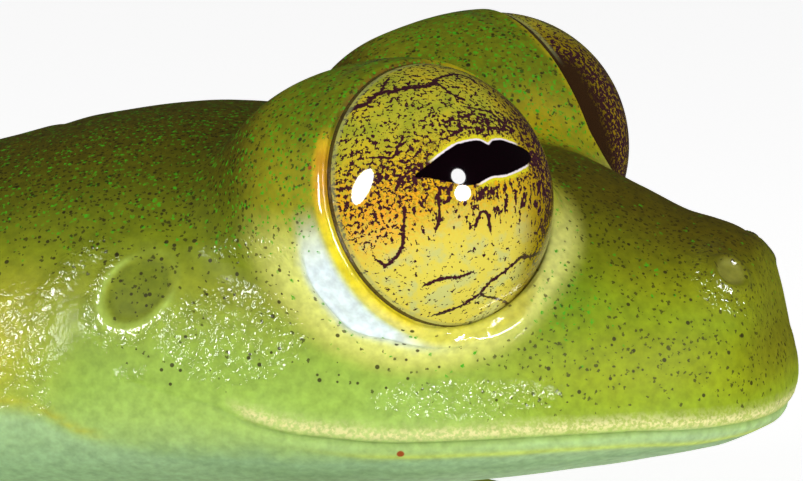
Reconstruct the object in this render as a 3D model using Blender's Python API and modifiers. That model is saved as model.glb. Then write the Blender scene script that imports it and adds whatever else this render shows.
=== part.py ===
# A small green glass frog, life size, sitting with its hands and feet flat on the floor.
# The frog looks along +X, its left side is at +Y and the floor is the plane Z = 0.
# The forms are worked out in millimetres, measured from the point midway between the
# eyeballs, because Blender's Boolean and Remesh thresholds suit larger forms than a frog
# of 20 mm. The last step turns every finished mesh into metres, with the origin at the
# centre of the footprint.
import math

import bmesh
import bpy
import numpy as np
from mathutils import Matrix, Vector

# Driving sizes, in millimetres
METRE = 0.001
GAP = 0.3
EYE_HEIGHT = 4.9
EYE_SPACING = 4.4
EYE_RADIUS = 1.466
LID_THICKNESS = 0.085
FLOOR = -EYE_HEIGHT

# The trunk and head, from the snout tip to the vent: place along the body, top, bottom,
# half width, height of the widest line, and how square the upper and lower halves are
STATIONS = (
    (3.66, -1.94, -2.14, 0.08, -2.04, 2.0, 2.0),
    (3.65, -1.76, -2.26, 0.42, -2.09, 2.0, 2.0),
    (3.61, -1.56, -2.40, 0.78, -2.15, 2.0, 2.0),
    (3.53, -1.34, -2.52, 1.04, -2.20, 2.0, 2.0),
    (3.40, -0.84, -2.61, 1.32, -2.22, 2.0, 2.0),
    (3.31, -0.64, -2.66, 1.46, -2.23, 2.0, 2.0),
    (3.15, -0.53, -2.72, 1.64, -2.24, 2.0, 2.1),
    (2.98, -0.44, -2.78, 1.80, -2.25, 2.0, 2.1),
    (2.74, -0.37, -2.83, 1.99, -2.25, 2.0, 2.2),
    (2.47, -0.30, -2.88, 2.15, -2.25, 2.0, 2.2),
    (1.90, -0.04, -2.97, 2.46, -2.25, 2.0, 2.2),
    (1.20, 0.25, -3.08, 2.76, -2.25, 2.1, 2.2),
    (0.40, 0.43, -3.18, 3.02, -2.25, 2.2, 2.2),
    (-0.60, 0.57, -3.28, 3.25, -2.22, 2.3, 2.2),
    (-1.60, 0.67, -3.35, 3.42, -2.15, 2.3, 2.2),
    (-2.60, 0.70, -3.42, 3.50, -2.10, 2.3, 2.2),
    (-3.30, 0.64, -3.46, 3.48, -2.10, 2.3, 2.2),
    (-4.00, 0.52, -3.52, 3.40, -2.15, 2.3, 2.2),
    (-5.00, 0.22, -3.66, 3.40, -2.25, 2.2, 2.2),
    (-6.50, -0.15, -3.90, 3.62, -2.45, 2.2, 2.3),
    (-8.00, -0.38, -4.12, 3.88, -2.60, 2.2, 2.3),
    (-9.50, -0.50, -4.30, 3.90, -2.75, 2.2, 2.3),
    (-11.0, -0.64, -4.40, 3.58, -2.85, 2.1, 2.3),
    (-12.2, -0.98, -4.42, 3.08, -2.95, 2.0, 2.2),
    (-13.5, -1.58, -4.38, 2.52, -3.10, 2.0, 2.1),
    (-14.6, -2.22, -4.28, 2.02, -3.25, 2.0, 2.0),
    (-15.4, -2.76, -4.12, 1.48, -3.40, 2.0, 2.0),
    (-15.9, -3.12, -3.94, 0.90, -3.50, 2.0, 2.0),
    (-16.1, -3.42, -3.72, 0.30, -3.56, 2.0, 2.0),
)
SNOUT_TIP, VENT = STATIONS[0][0], STATIONS[-1][0]
NECK_CUT = -3.95

# The eyes: where the lid's rim faces, how far round the ball the rim lies, and where the
# pupil looks, for the left eye
RIM_AXIS = Vector((0.72, 0.628, 0.295)).normalized()
RIM_ANGLE = math.radians(71.5)
PUPIL_AXIS = Vector((0.626, 0.666, 0.405)).normalized()
PUPIL_HALF_LENGTH = 0.70
PUPIL_HALF_HEIGHT = 0.22
PUPIL_DEPTH = 0.08
SOCKET_RADIUS = 1.1
RIM_BEAD = 0.14
LIP_BEAD = 0.10
LIP_RISE = 0.15

# The small forms of the head, for the left side
NOSTRIL = (3.17, -0.85)
NOSTRIL_RADIUS = 0.17
NOSTRIL_BEAD = 0.055
TYMPANUM = (-2.68, -0.80)
TYMPANUM_RADII = (0.30, 0.42)
TYMPANUM_TILT = math.radians(40)
TYMPANUM_BEAD = 0.065
MOUTH_HEIGHT = -2.41
MOUTH_CORNER = ((-1.8, -2.29), (-2.1, -2.15), (-2.5, -1.93), (-2.85, -1.75))
MOUTH_GROOVE = 0.08

# The joints of the left limbs
SHOULDER = Vector((-4.9, 2.4, -2.55))
ELBOW = Vector((-6.6, 5.95, -3.0))
WRIST = Vector((-3.85, 5.1, -4.25))
PALM = Vector((-2.9, 4.65, -4.5))
HIP = Vector((-13.0, 1.3, -2.65))
KNEE = Vector((-7.0, 8.5, -2.65))
HEEL = Vector((-16.2, 3.1, -4.1))
ANKLE = Vector((-13.1, 5.85, -4.4))
INSTEP = Vector((-12.4, 6.45, -4.46))

# Limb thickness, as radii along each length
UPPER_ARM = (0.86, 0.80, 0.70, 0.62, 0.58)
FOREARM = (0.56, 0.68, 0.70, 0.58, 0.44)
THIGH = (1.35, 1.38, 1.32, 1.15, 0.95, 0.86)
SHANK = (0.82, 0.98, 1.00, 0.86, 0.66, 0.50, 0.47)
TARSUS = (0.47, 0.42, 0.40, 0.44)

# Digits: heading from the body's axis in degrees, length, and radius of the tip's disc
FINGERS = ((-70, 2.9, 0.40), (-42, 3.1, 0.41), (-16, 4.5, 0.50), (10, 3.7, 0.47))
TOES = ((-14, 3.0, 0.36), (-1, 4.3, 0.38), (9, 5.9, 0.42), (19, 7.5, 0.45), (30, 5.9, 0.43))
FINGER_RADIUS = 0.25
FINGER_HEIGHT = 0.33
FINGER_ARCH = 0.10
DISC_HEIGHT = 0.17
DISC_THICKNESS = 0.25
WEB_THICKNESS = 0.34
FINGER_WEBS = ((0, 0.25), (1, 0.30), (2, 0.48))
TOE_WEBS = ((0, 0.66), (1, 0.68), (2, 0.70), (3, 0.74))

# Colours as linear red, green and blue, with roughness
SKIN_BACK = ((0.13, 0.19, 0.01), 0.35)
SKIN_SIDE = ((0.30, 0.40, 0.03), 0.30)
SKIN_LIMB = ((0.28, 0.38, 0.06), 0.35)
IRIS = ((0.55, 0.50, 0.05), 0.10)


def dress(piece):
    """Gives the piece a Principled material of its own, with a plain colour."""
    finishes = {"head": SKIN_SIDE, "torso": SKIN_BACK, "eye": IRIS}
    colour, roughness = finishes.get(piece.name.split("_")[0], SKIN_LIMB)
    made = bpy.data.materials.new(piece.name)
    made.use_nodes = True
    shader = made.node_tree.nodes["Principled BSDF"]
    shader.inputs["Base Color"].default_value = (*colour, 1)
    shader.inputs["Roughness"].default_value = roughness
    shader.inputs["Metallic"].default_value = 0.0
    piece.data.materials.clear()
    piece.data.materials.append(made)


def add_object(name, mesh):
    made = bpy.data.objects.new(name, mesh)
    bpy.context.scene.collection.objects.link(made)
    return made


def mesh_object(name, points, faces):
    mesh = bpy.data.meshes.new(name)
    mesh.from_pydata([tuple(p) for p in points], [], faces)
    mesh.update()
    return add_object(name, mesh)


def object_from_bmesh(name, shape):
    mesh = bpy.data.meshes.new(name)
    shape.to_mesh(mesh)
    shape.free()
    return add_object(name, mesh)


def move_to(collection, piece):
    for old in list(piece.users_collection):
        old.objects.unlink(piece)
    collection.objects.link(piece)


def apply_modifiers(piece):
    """The mesh that the piece's modifiers give takes the place of its own."""
    graph = bpy.context.evaluated_depsgraph_get()
    mesh = bpy.data.meshes.new_from_object(piece.evaluated_get(graph))
    piece.modifiers.clear()
    piece.data = mesh
    return piece


def remove(*pieces):
    for piece in pieces:
        bpy.data.objects.remove(piece)


def smooth_through(places, values, at):
    """Reads a curve through the given values that never overshoots them."""
    x, y = np.asarray(places, float), np.asarray(values, float)
    steps = np.diff(y) / np.diff(x)
    slopes = np.zeros(len(x))
    slopes[0], slopes[-1] = steps[0], steps[-1]
    same_way = steps[:-1] * steps[1:] > 0
    mean = 2 * steps[:-1] * steps[1:] / np.where(same_way, steps[:-1] + steps[1:], 1)
    slopes[1:-1] = np.where(same_way, mean, 0)
    i = np.clip(np.searchsorted(x, at) - 1, 0, len(x) - 2)
    width = x[i + 1] - x[i]
    t = (np.asarray(at, float) - x[i]) / width
    return (
        (2 * t**3 - 3 * t**2 + 1) * y[i]
        + (t**3 - 2 * t**2 + t) * width * slopes[i]
        + (3 * t**2 - 2 * t**3) * y[i + 1]
        + (t**3 - t**2) * width * slopes[i + 1]
    )


def trunk_at(x):
    """Top, bottom, half width, widest height and squareness of the trunk at x."""
    table = np.array(STATIONS[::-1])
    return [smooth_through(table[:, 0], table[:, k], x) for k in range(1, 7)]


def half_width_at(x, z):
    """How far from the middle the trunk's side lies at this place and height."""
    top, bottom, half, middle, upper, lower = trunk_at(x)
    end, power = (top, upper) if z > middle else (bottom, lower)
    share = min(1.0, abs((z - middle) / (end - middle)))
    return float(half * (1 - share**power) ** (1 / power))


def side_point(x, z):
    return Vector((x, half_width_at(x, z), z))


def side_normal(x, z, step=0.05):
    """Outward direction of the left side there."""
    along = side_point(x + step, z) - side_point(x - step, z)
    up = side_point(x, z + step) - side_point(x, z - step)
    normal = along.cross(up)
    return normal.normalized() if normal.y > 0 else -normal.normalized()


def trunk_form(name, stations, sides, grow=0.0):
    """A loft of the trunk's sections at the given places, each larger all round by grow."""
    turns = np.linspace(0, 2 * math.pi, sides, endpoint=False)
    points, faces = [], []
    for x in stations:
        top, bottom, half, middle, upper, lower = trunk_at(x)
        for turn in turns:
            c, s = math.cos(turn), math.sin(turn)
            power = upper if s >= 0 else lower
            end = top + grow if s >= 0 else bottom - grow
            y = (half + grow) * math.copysign(abs(c) ** (2 / power), c)
            z = middle + (end - middle) * abs(s) ** (2 / power)
            points.append((x, y, z))
    rings = len(stations)
    for i in range(rings - 1):
        for j in range(sides):
            k = (j + 1) % sides
            faces.append((i * sides + j, (i + 1) * sides + j, (i + 1) * sides + k, i * sides + k))
    faces.append(tuple(range(sides)))
    faces.append(tuple((rings - 1) * sides + j for j in reversed(range(sides))))
    made = mesh_object(name, points, faces)
    face_outwards(made)
    return made


def face_outwards(piece):
    shape = bmesh.new()
    shape.from_mesh(piece.data)
    bmesh.ops.recalc_face_normals(shape, faces=shape.faces)
    shape.to_mesh(piece.data)
    shape.free()


def ball(name, centre, radii, turn=None, rings=12):
    """An ellipsoid with its own axes turned by a matrix."""
    shape = bmesh.new()
    bmesh.ops.create_uvsphere(shape, u_segments=2 * rings, v_segments=rings, radius=1)
    place = Matrix.Translation(centre) @ (turn or Matrix.Identity(4)) @ Matrix.Diagonal((*radii, 1))
    bmesh.ops.transform(shape, matrix=place, verts=shape.verts)
    return object_from_bmesh(name, shape)


def ring(name, centre, normal, radii, bead, tilt=0.0, around=28, sides=8):
    """A torus, oval if its two radii differ, that lies across its normal."""
    middle = sum(radii) / 2
    bpy.ops.mesh.primitive_torus_add(
        major_segments=around,
        minor_segments=sides,
        major_radius=middle,
        minor_radius=bead,
    )
    made = bpy.context.object
    made.name = name
    oval = Matrix.Diagonal((radii[0] / middle, radii[1] / middle, 1, 1))
    turn = facing(normal) @ Matrix.Rotation(tilt, 4, "Z")
    made.data.transform(Matrix.Translation(centre) @ turn @ oval)
    return made


def facing(normal):
    """A turn that carries +Z to the normal and keeps +Y as high as it can."""
    out = Vector(normal).normalized()
    across = Vector((0, 0, 1)).cross(out).normalized()
    up = out.cross(across)
    return Matrix((across, up, out)).transposed().to_4x4()


def turned(name, profile, centre, axis, steps=36):
    """A profile of (radius, height) pairs turned about an axis by a Screw modifier."""
    points = [(r, 0, h) for r, h in profile]
    edges = [(i, i + 1) for i in range(len(points) - 1)]
    mesh = bpy.data.meshes.new(name)
    mesh.from_pydata(points, edges, [])
    made = add_object(name, mesh)
    screw = made.modifiers.new("Screw", "SCREW")
    screw.steps = screw.render_steps = steps
    screw.use_merge_vertices = True
    screw.merge_threshold = 0.0001
    apply_modifiers(made)
    made.data.transform(Matrix.Translation(centre) @ facing(axis))
    face_outwards(made)
    return made


def tube(name, points, radii, resolution=3, round_ends=True):
    """A closed limb along the points, as thick as its radii say, with round ends."""
    points = [Vector(p) for p in points]
    radii = list(radii)
    if round_ends:
        points, radii = with_round_ends(points, radii)
    curve = bpy.data.curves.new(name, "CURVE")
    curve.dimensions = "3D"
    curve.bevel_depth = 1.0
    curve.bevel_resolution = resolution
    curve.use_fill_caps = True
    curve.twist_mode = "MINIMUM"
    spline = curve.splines.new("POLY")
    spline.points.add(len(points) - 1)
    for target, point, radius in zip(spline.points, points, radii):
        target.co = (*point, 1)
        target.radius = radius
    return add_object(name, closed_mesh_of(name, curve))


def flat_shape(name, outline, low, high, place=None):
    """A closed slab between two heights with the given outline in plan."""
    curve = bpy.data.curves.new(name, "CURVE")
    curve.dimensions = "2D"
    curve.fill_mode = "BOTH"
    curve.extrude = (high - low) / 2
    spline = curve.splines.new("POLY")
    spline.points.add(len(outline) - 1)
    for target, (x, y) in zip(spline.points, outline):
        target.co = (x, y, 0, 1)
    spline.use_cyclic_u = True
    mesh = closed_mesh_of(name, curve)
    lift = Matrix.Translation((0, 0, (low + high) / 2))
    mesh.transform((place or Matrix.Identity(4)) @ lift)
    return add_object(name, mesh)


def closed_mesh_of(name, curve):
    """The curve's surface as a mesh whose caps are welded on."""
    guide = add_object(name + "_guide", curve)
    graph = bpy.context.evaluated_depsgraph_get()
    mesh = bpy.data.meshes.new_from_object(guide.evaluated_get(graph))
    remove(guide)
    shape = bmesh.new()
    shape.from_mesh(mesh)
    bmesh.ops.remove_doubles(shape, verts=shape.verts, dist=0.001)
    bmesh.ops.recalc_face_normals(shape, faces=shape.faces)
    shape.to_mesh(mesh)
    shape.free()
    return mesh


def with_round_ends(points, radii, steps=2):
    """Adds shrinking rings beyond both ends, so that a tube ends as half a ball."""
    first, last = [], []
    for k in range(1, steps + 1):
        lean = 0.94 * math.pi / 2 * k / steps
        start = (points[0] - points[1]).normalized()
        end = (points[-1] - points[-2]).normalized()
        first.append((points[0] + start * radii[0] * math.sin(lean), radii[0] * math.cos(lean)))
        last.append((points[-1] + end * radii[-1] * math.sin(lean), radii[-1] * math.cos(lean)))
    rings = first[::-1] + list(zip(points, radii)) + last
    return [p for p, r in rings], [r for p, r in rings]


def along(start, end, radii, bow=(0, 0, 0), count=9):
    """Points and radii from one joint to the next, with the middle pushed out by bow."""
    shares = np.linspace(0, 1, count)
    places = np.linspace(0, 1, len(radii))
    points = [start.lerp(end, s) + Vector(bow) * (4 * s * (1 - s)) for s in shares]
    return points, smooth_through(places, radii, shares)


def combine(target, others, operation="UNION", solver="EXACT"):
    """Joins the others to the target, or cuts them from it, and removes them."""
    group = bpy.data.collections.new("operands")
    bpy.context.scene.collection.children.link(group)
    for other in others:
        move_to(group, other)
    cut = target.modifiers.new("Boolean", "BOOLEAN")
    cut.operation = operation
    cut.solver = solver
    cut.operand_type = "COLLECTION"
    cut.collection = group
    apply_modifiers(target)
    remove(*others)
    bpy.data.collections.remove(group)
    return keep_largest(target)


def keep_largest(piece):
    """Keeps the largest closed surface of the piece and drops loose scraps."""
    shape = bmesh.new()
    shape.from_mesh(piece.data)
    bmesh.ops.dissolve_degenerate(shape, edges=shape.edges, dist=0.0001)
    left, groups = set(shape.verts), []
    while left:
        seed = left.pop()
        group, front = {seed}, [seed]
        while front:
            for edge in front.pop().link_edges:
                for vert in edge.verts:
                    if vert in left:
                        left.discard(vert)
                        group.add(vert)
                        front.append(vert)
        groups.append(group)
    groups.sort(key=len)
    loose = [v for group in groups[:-1] for v in group]
    bmesh.ops.delete(shape, geom=loose, context="VERTS")
    shape.to_mesh(piece.data)
    shape.free()
    return piece


def slice_off(piece, point, normal):
    """Removes what lies on the normal's side of a plane and closes the cut."""
    shape = bmesh.new()
    shape.from_mesh(piece.data)
    everything = shape.verts[:] + shape.edges[:] + shape.faces[:]
    found = bmesh.ops.bisect_plane(
        shape,
        geom=everything,
        dist=0.0001,
        plane_co=point,
        plane_no=normal,
        clear_outer=True,
    )
    rim = [g for g in found["geom_cut"] if isinstance(g, bmesh.types.BMEdge)]
    bmesh.ops.holes_fill(shape, edges=[e for e in rim if e.is_boundary], sides=0)
    bmesh.ops.remove_doubles(shape, verts=shape.verts, dist=0.002)
    bmesh.ops.recalc_face_normals(shape, faces=shape.faces)
    shape.to_mesh(piece.data)
    shape.free()
    return piece


def part_at_joint(near, far, joint, near_start, far_end):
    """Parts two lengths of a limb by a thin cut that halves the angle at their joint."""
    back = (near_start - joint).normalized()
    on = (far_end - joint).normalized()
    normal = (on - back).normalized()
    slice_off(near, joint - normal * GAP / 2, normal)
    slice_off(far, joint + normal * GAP / 2, -normal)


def reduce_faces(piece, triangles):
    """Collapses edges until the piece has about this many triangles."""
    count = sum(len(face.vertices) - 2 for face in piece.data.polygons)
    fewer = piece.modifiers.new("Decimate", "DECIMATE")
    fewer.ratio = min(1.0, triangles / count)
    return apply_modifiers(piece)


def eye_centre(side):
    return Vector((0, side * EYE_SPACING / 2, 0))


def on_side(vector, side):
    return Vector((vector[0], side * vector[1], vector[2]))


def head_stations():
    """Places along the head, closer together where the snout turns down."""
    front = SNOUT_TIP - 0.6 * np.linspace(0, 1, 12) ** 2
    rest = np.linspace(SNOUT_TIP - 0.6, NECK_CUT - 1.2, 34)
    return np.concatenate([front, rest[1:]])


def fused_head():
    """Head with the bulges of both eyes blended in."""
    head = trunk_form("head", head_stations(), 56)
    lid = EYE_RADIUS + LID_THICKNESS
    bulges = []
    for side in (1, -1):
        bulges.append(ball("lid", eye_centre(side), (lid, lid, lid), rings=24))
        brow = Vector((-0.45, side * 1.98, -0.16))
        bulges.append(ball("brow", brow, (1.68, 1.50, 1.50), rings=24))
    combine(head, bulges)
    remesh = head.modifiers.new("Remesh", "REMESH")
    remesh.mode = "VOXEL"
    remesh.voxel_size = 0.11
    remesh.use_smooth_shade = True
    soften = head.modifiers.new("Smooth", "SMOOTH")
    soften.factor = 0.5
    soften.iterations = 5
    apply_modifiers(head)
    slice_off(head, Vector((NECK_CUT + GAP / 2, 0, 0)), Vector((-1, 0, 0)))
    return reduce_faces(head, 2500)


def socket_cutter(side):
    """The space of an eye: open in front of the rim, with a round well behind it."""
    centre, axis = eye_centre(side), on_side(RIM_AXIS, side)
    face = EYE_RADIUS * math.cos(RIM_ANGLE) - GAP
    well = [
        (SOCKET_RADIUS * math.sin(a), -SOCKET_RADIUS * math.cos(a))
        for a in np.linspace(0, math.radians(86), 5)
    ]
    clear = EYE_RADIUS + GAP
    start = math.acos(face / clear)
    dome = [(clear * math.sin(a), clear * math.cos(a)) for a in np.linspace(start, 0, 7)]
    return turned("socket", well + [(SOCKET_RADIUS, face)] + dome, centre, axis, steps=28)


def eye(side, name):
    """The eyeball's face from the lid's rim outwards, on a smaller ball behind the lids."""
    centre, axis = eye_centre(side), on_side(RIM_AXIS, side)
    root = SOCKET_RADIUS - GAP
    face = EYE_RADIUS * math.cos(RIM_ANGLE)
    back = [
        (root * math.sin(a), -root * math.cos(a)) for a in np.linspace(0, math.radians(80), 4)
    ]
    front = [
        (EYE_RADIUS * math.sin(a), EYE_RADIUS * math.cos(a))
        for a in np.linspace(RIM_ANGLE, 0, 9)
    ]
    made = turned(name, back + [(root, face - 0.05)] + front, centre, axis, steps=26)
    return combine(made, [pupil_cutter(side)], "DIFFERENCE")


def pupil_cutter(side, points=9):
    """A level lens shape that sinks a little way into the eyeball."""
    axis = on_side(PUPIL_AXIS, side)
    shares = np.linspace(-1, 1, points)
    upper = [(PUPIL_HALF_LENGTH * t, PUPIL_HALF_HEIGHT * (1 - t * t)) for t in shares]
    lower = [(PUPIL_HALF_LENGTH * t, -PUPIL_HALF_HEIGHT * (1 - t * t)) for t in shares[-2:0:-1]]
    place = Matrix.Translation(eye_centre(side)) @ facing(axis)
    floor = math.sqrt(EYE_RADIUS**2 - PUPIL_HALF_LENGTH**2) - PUPIL_DEPTH
    return flat_shape("pupil", upper + lower, floor, EYE_RADIUS + 0.5, place)


def jaw_point(heading, z):
    """Where a level line from inside the jaws, at this heading, leaves the head."""
    way = Vector((math.cos(heading), math.sin(heading), 0))
    start = Vector((0.5, 0, z))
    near, far = 0.0, 6.0
    for _ in range(30):
        reach = (near + far) / 2
        spot = start + way * reach
        inside = spot.x < SNOUT_TIP and spot.y < half_width_at(spot.x, z)
        near, far = (reach, far) if inside else (near, reach)
    return start + way * near


def outward(point):
    """Level direction out of the head, away from the middle of the jaws."""
    return Vector((max(0.0, point.x) * 0.5, point.y, 0)).normalized()


def mouth_line():
    """Points along the closed mouth, from the left corner round the snout to the right."""
    side = [side_point(x, z) for x, z in MOUTH_CORNER[::-1]]
    side += [jaw_point(math.radians(a), MOUTH_HEIGHT) for a in range(114, 0, -6)]
    front = [jaw_point(0, MOUTH_HEIGHT)]
    return side + front + [on_side(p, -1) for p in reversed(side)]


def head_node():
    head = fused_head()
    lip = [p + Vector((0, 0, LIP_RISE)) - outward(p) * 0.05 for p in mouth_line()]
    beads = [tube("lip", lip, [LIP_BEAD] * len(lip), 1)]
    for side in (1, -1):
        rim_axis = on_side(RIM_AXIS, side)
        face = EYE_RADIUS * math.cos(RIM_ANGLE) - GAP - RIM_BEAD
        reach = math.sqrt(EYE_RADIUS**2 - face**2)
        centre = eye_centre(side) + rim_axis * face
        beads.append(ring("lid_edge", centre, rim_axis, (reach, reach), RIM_BEAD, around=32, sides=6))
        spot = on_side(side_point(*NOSTRIL), side)
        out = on_side(side_normal(*NOSTRIL), side)
        radii = (NOSTRIL_RADIUS, NOSTRIL_RADIUS)
        beads.append(ring("nostril", spot, out, radii, NOSTRIL_BEAD, around=14, sides=5))
        spot = on_side(side_point(*TYMPANUM), side)
        out = on_side(side_normal(*TYMPANUM), side)
        lean = side * TYMPANUM_TILT
        beads.append(ring("ear", spot, out, TYMPANUM_RADII, TYMPANUM_BEAD, lean, 22, 5))
    combine(head, beads)
    cutters = [tube("mouth", mouth_line(), [MOUTH_GROOVE] * len(mouth_line()), 0, False)]
    for side in (1, -1):
        cutters.append(socket_cutter(side))
        out = on_side(side_normal(*NOSTRIL), side)
        spot = on_side(side_point(*NOSTRIL), side) + out * 0.02
        pit = NOSTRIL_RADIUS * 0.7
        cutters.append(ball("pit", spot, (pit, pit, pit * 1.2), facing(out), rings=4))
    return combine(head, cutters, "DIFFERENCE")


def torso_node():
    length = np.linspace(NECK_CUT - GAP / 2, VENT + 0.6, 18)
    rump = VENT + 0.6 - 0.6 * np.array([0.4, 0.7, 0.9, 1])
    return trunk_form("torso", np.concatenate([length, rump]), 30)


def trunk_cutter():
    """Trunk and head grown by the gap, to trim what meets them."""
    stations = np.concatenate([[SNOUT_TIP], np.linspace(3.3, VENT + 0.4, 48), [VENT]])
    return trunk_form("grown_trunk", stations, 32, GAP)


def limb(name, start, end, radii, bow=(0, 0, 0), resolution=3):
    points, thick = along(start, end, radii, bow)
    return tube(name, points, thick, resolution)


def digit(base, heading, length, disc, name):
    """Pieces of one finger or toe that lies on the floor: bones, joints and tip disc."""
    turn = math.radians(heading)
    way = Vector((math.cos(turn), math.sin(turn), 0))
    start = Vector((base.x, base.y, FLOOR + FINGER_HEIGHT))
    shares = np.linspace(0, 1, 6)
    swell = FINGER_RADIUS * (1 + 0.10 * np.cos(3 * 2 * math.pi * shares))
    points = []
    for share in shares:
        arch = Vector((0, 0, FINGER_ARCH * math.sin(math.pi * share)))
        points.append(start + way * (length - 0.9 * disc) * share + arch)
    bone = tube(name, points, swell, 1)
    tip = Vector((base.x, base.y, FLOOR + DISC_HEIGHT)) + way * (length - disc)
    turn_disc = Matrix.Rotation(turn, 4, "Z")
    pad = ball(name + "_disc", tip, (disc, disc * 1.04, DISC_THICKNESS), turn_disc, rings=5)
    return [bone, pad]


def web(base, first, second, share, name, steps=4):
    """A flat web between two digits, with its free edge curved in."""
    origin = Vector((base.x, base.y))
    rims = []
    for (heading, length, disc), beyond in ((first, -2), (second, 2)):
        turn = math.radians(heading + beyond)
        way = Vector((math.cos(turn), math.sin(turn)))
        rims.append(origin + way * (length - disc) * share)
    inner = origin.lerp((rims[0] + rims[1]) / 2, 0.82)
    outline = [origin]
    for t in np.linspace(0, 1, 2 * steps + 1):
        outline.append(rims[0] * (1 - t) ** 2 + inner * 2 * t * (1 - t) + rims[1] * t * t)
    return flat_shape(name, outline, FLOOR - 0.05, FLOOR + WEB_THICKNESS)


def extremity(name, base, root, root_radius, palm_radii, palm_turn, digits, webs):
    """A hand or foot: palm, digits, discs and webs joined, and flat on the floor."""
    palm = ball(name, base, palm_radii, Matrix.Rotation(palm_turn, 4, "Z"), rings=8)
    pieces = [tube(name + "_root", [root, base], [root_radius, root_radius * 0.9], 2)]
    for count, (heading, length, disc) in enumerate(digits):
        pieces += digit(base, heading, length, disc, f"{name}_digit_{count}")
    for first, share in webs:
        pieces.append(web(base, digits[first], digits[first + 1], share, f"{name}_web_{first}"))
    combine(palm, pieces)
    return slice_off(palm, Vector((0, 0, FLOOR)), Vector((0, 0, -1)))


def left_arm():
    upper = limb("upper_arm_left", SHOULDER, ELBOW, UPPER_ARM, (-0.15, 0, 0.1))
    fore = limb("forearm_left", ELBOW, WRIST, FOREARM, (0, 0.15, 0.1))
    hand = extremity(
        "hand_left", PALM, WRIST, FOREARM[-1], (0.85, 0.80, 0.47), 0, FINGERS, FINGER_WEBS
    )
    part_at_joint(upper, fore, ELBOW, SHOULDER, WRIST)
    part_at_joint(fore, hand, WRIST, ELBOW, PALM)
    combine(upper, [trunk_cutter()], "DIFFERENCE")
    return [upper, fore, hand]


def left_leg():
    thigh = limb("thigh_left", HIP, KNEE, THIGH, (0, 0, 0.1), 4)
    shank = limb("shank_left", KNEE, HEEL, SHANK, (0.1, 0.15, 0), 3)
    tarsus = limb("tarsus_left", HEEL, INSTEP, TARSUS, (-0.1, 0.1, -0.05), 2)
    foot = extremity(
        "foot_left", INSTEP, ANKLE, TARSUS[-1], (1.0, 0.66, 0.50), 0.45, TOES, TOE_WEBS
    )
    part_at_joint(thigh, shank, KNEE, HIP, HEEL)
    part_at_joint(shank, tarsus, HEEL, KNEE, INSTEP)
    part_at_joint(tarsus, foot, ANKLE, HEEL, INSTEP)
    combine(thigh, [trunk_cutter()], "DIFFERENCE")
    return [thigh, shank, tarsus, foot]


def mirrored(piece):
    """The same piece on the right side of the body."""
    made = add_object(piece.name.replace("_left", "_right"), piece.data.copy())
    made.data.transform(Matrix.Diagonal((1, -1, 1, 1)))
    made.data.flip_normals()
    return made


def corners_of(pieces):
    points = np.array([v.co for piece in pieces for v in piece.data.vertices])
    return points.min(0), points.max(0)


def to_metres(pieces, holder):
    """Turns millimetres from the eyes into metres from the centre of the footprint.

    Each piece ends with its origin in its own middle, placed under the holder.
    """
    low, high = corners_of(pieces)
    middle = (low + high) / 2
    place = Matrix.Scale(METRE, 4) @ Matrix.Translation((-middle[0], -middle[1], -low[2]))
    for piece in pieces:
        piece.data.transform(place)
        low, high = corners_of([piece])
        centre = Vector((low + high) / 2)
        piece.data.transform(Matrix.Translation(-centre))
        piece.data.shade_smooth()
        piece.data.set_sharp_from_angle(angle=math.radians(45))
        piece.location = centre
        piece.parent = holder


def build():
    for old in list(bpy.data.objects):
        bpy.data.objects.remove(old)
    limbs = left_arm() + left_leg()
    limbs += [mirrored(piece) for piece in limbs]
    eyes = [eye(1, "eye_left"), eye(-1, "eye_right")]
    nodes = [head_node(), torso_node()] + eyes + limbs
    to_metres(nodes, add_object("frog", None))
    frog = bpy.data.collections.new("glass_frog")
    bpy.context.scene.collection.children.link(frog)
    for piece in nodes:
        dress(piece)
        move_to(frog, piece)


build()
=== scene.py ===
import math

import bpy
import numpy as np
from mathutils import Matrix, Vector, noise


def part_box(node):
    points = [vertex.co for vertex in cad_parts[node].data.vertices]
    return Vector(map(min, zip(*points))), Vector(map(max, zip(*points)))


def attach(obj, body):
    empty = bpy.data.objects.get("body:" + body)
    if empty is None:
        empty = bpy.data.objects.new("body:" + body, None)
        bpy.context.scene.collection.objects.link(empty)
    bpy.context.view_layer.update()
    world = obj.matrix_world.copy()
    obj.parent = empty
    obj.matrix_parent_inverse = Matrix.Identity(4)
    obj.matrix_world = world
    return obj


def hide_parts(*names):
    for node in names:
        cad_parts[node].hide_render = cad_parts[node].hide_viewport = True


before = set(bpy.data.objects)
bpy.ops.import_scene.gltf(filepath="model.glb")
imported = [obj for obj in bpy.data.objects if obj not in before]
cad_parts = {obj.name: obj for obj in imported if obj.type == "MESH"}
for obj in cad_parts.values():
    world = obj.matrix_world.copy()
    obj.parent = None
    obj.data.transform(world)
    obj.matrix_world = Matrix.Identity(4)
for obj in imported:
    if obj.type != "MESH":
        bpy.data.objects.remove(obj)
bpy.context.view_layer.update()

millimetre = 0.001
eyes = {
    "spacing": 4.4,
    "height": 4.9,            # of their middles above the floor
    "radius": 1.466,
    "rimAxis": (0.72, 0.628, 0.295),    # where the opening of the left lids faces
    "rimAngle": 71.5,         # degrees from that axis to the edge of the lids
    "pupilAxis": (0.626, 0.666, 0.405),
    "lid": 0.085,             # thickness of the lids over the ball, at the back and below
    "topLid": 0.035,          # and at the top
    "well": 1.05,             # radius of the socket behind the lids
    "root": 1.0,              # radius of the ball's hidden half
}
floorLevel = -eyes["height"]
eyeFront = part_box("eye_left")[1].x
eyePlace = Vector((eyeFront - eyes["radius"] * millimetre, 0, eyes["height"] * millimetre))


def selectOnly(*pieces):
    bpy.ops.object.select_all(action="DESELECT")
    for piece in pieces:
        piece.select_set(True)
    bpy.context.view_layer.objects.active = pieces[0]


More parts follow.
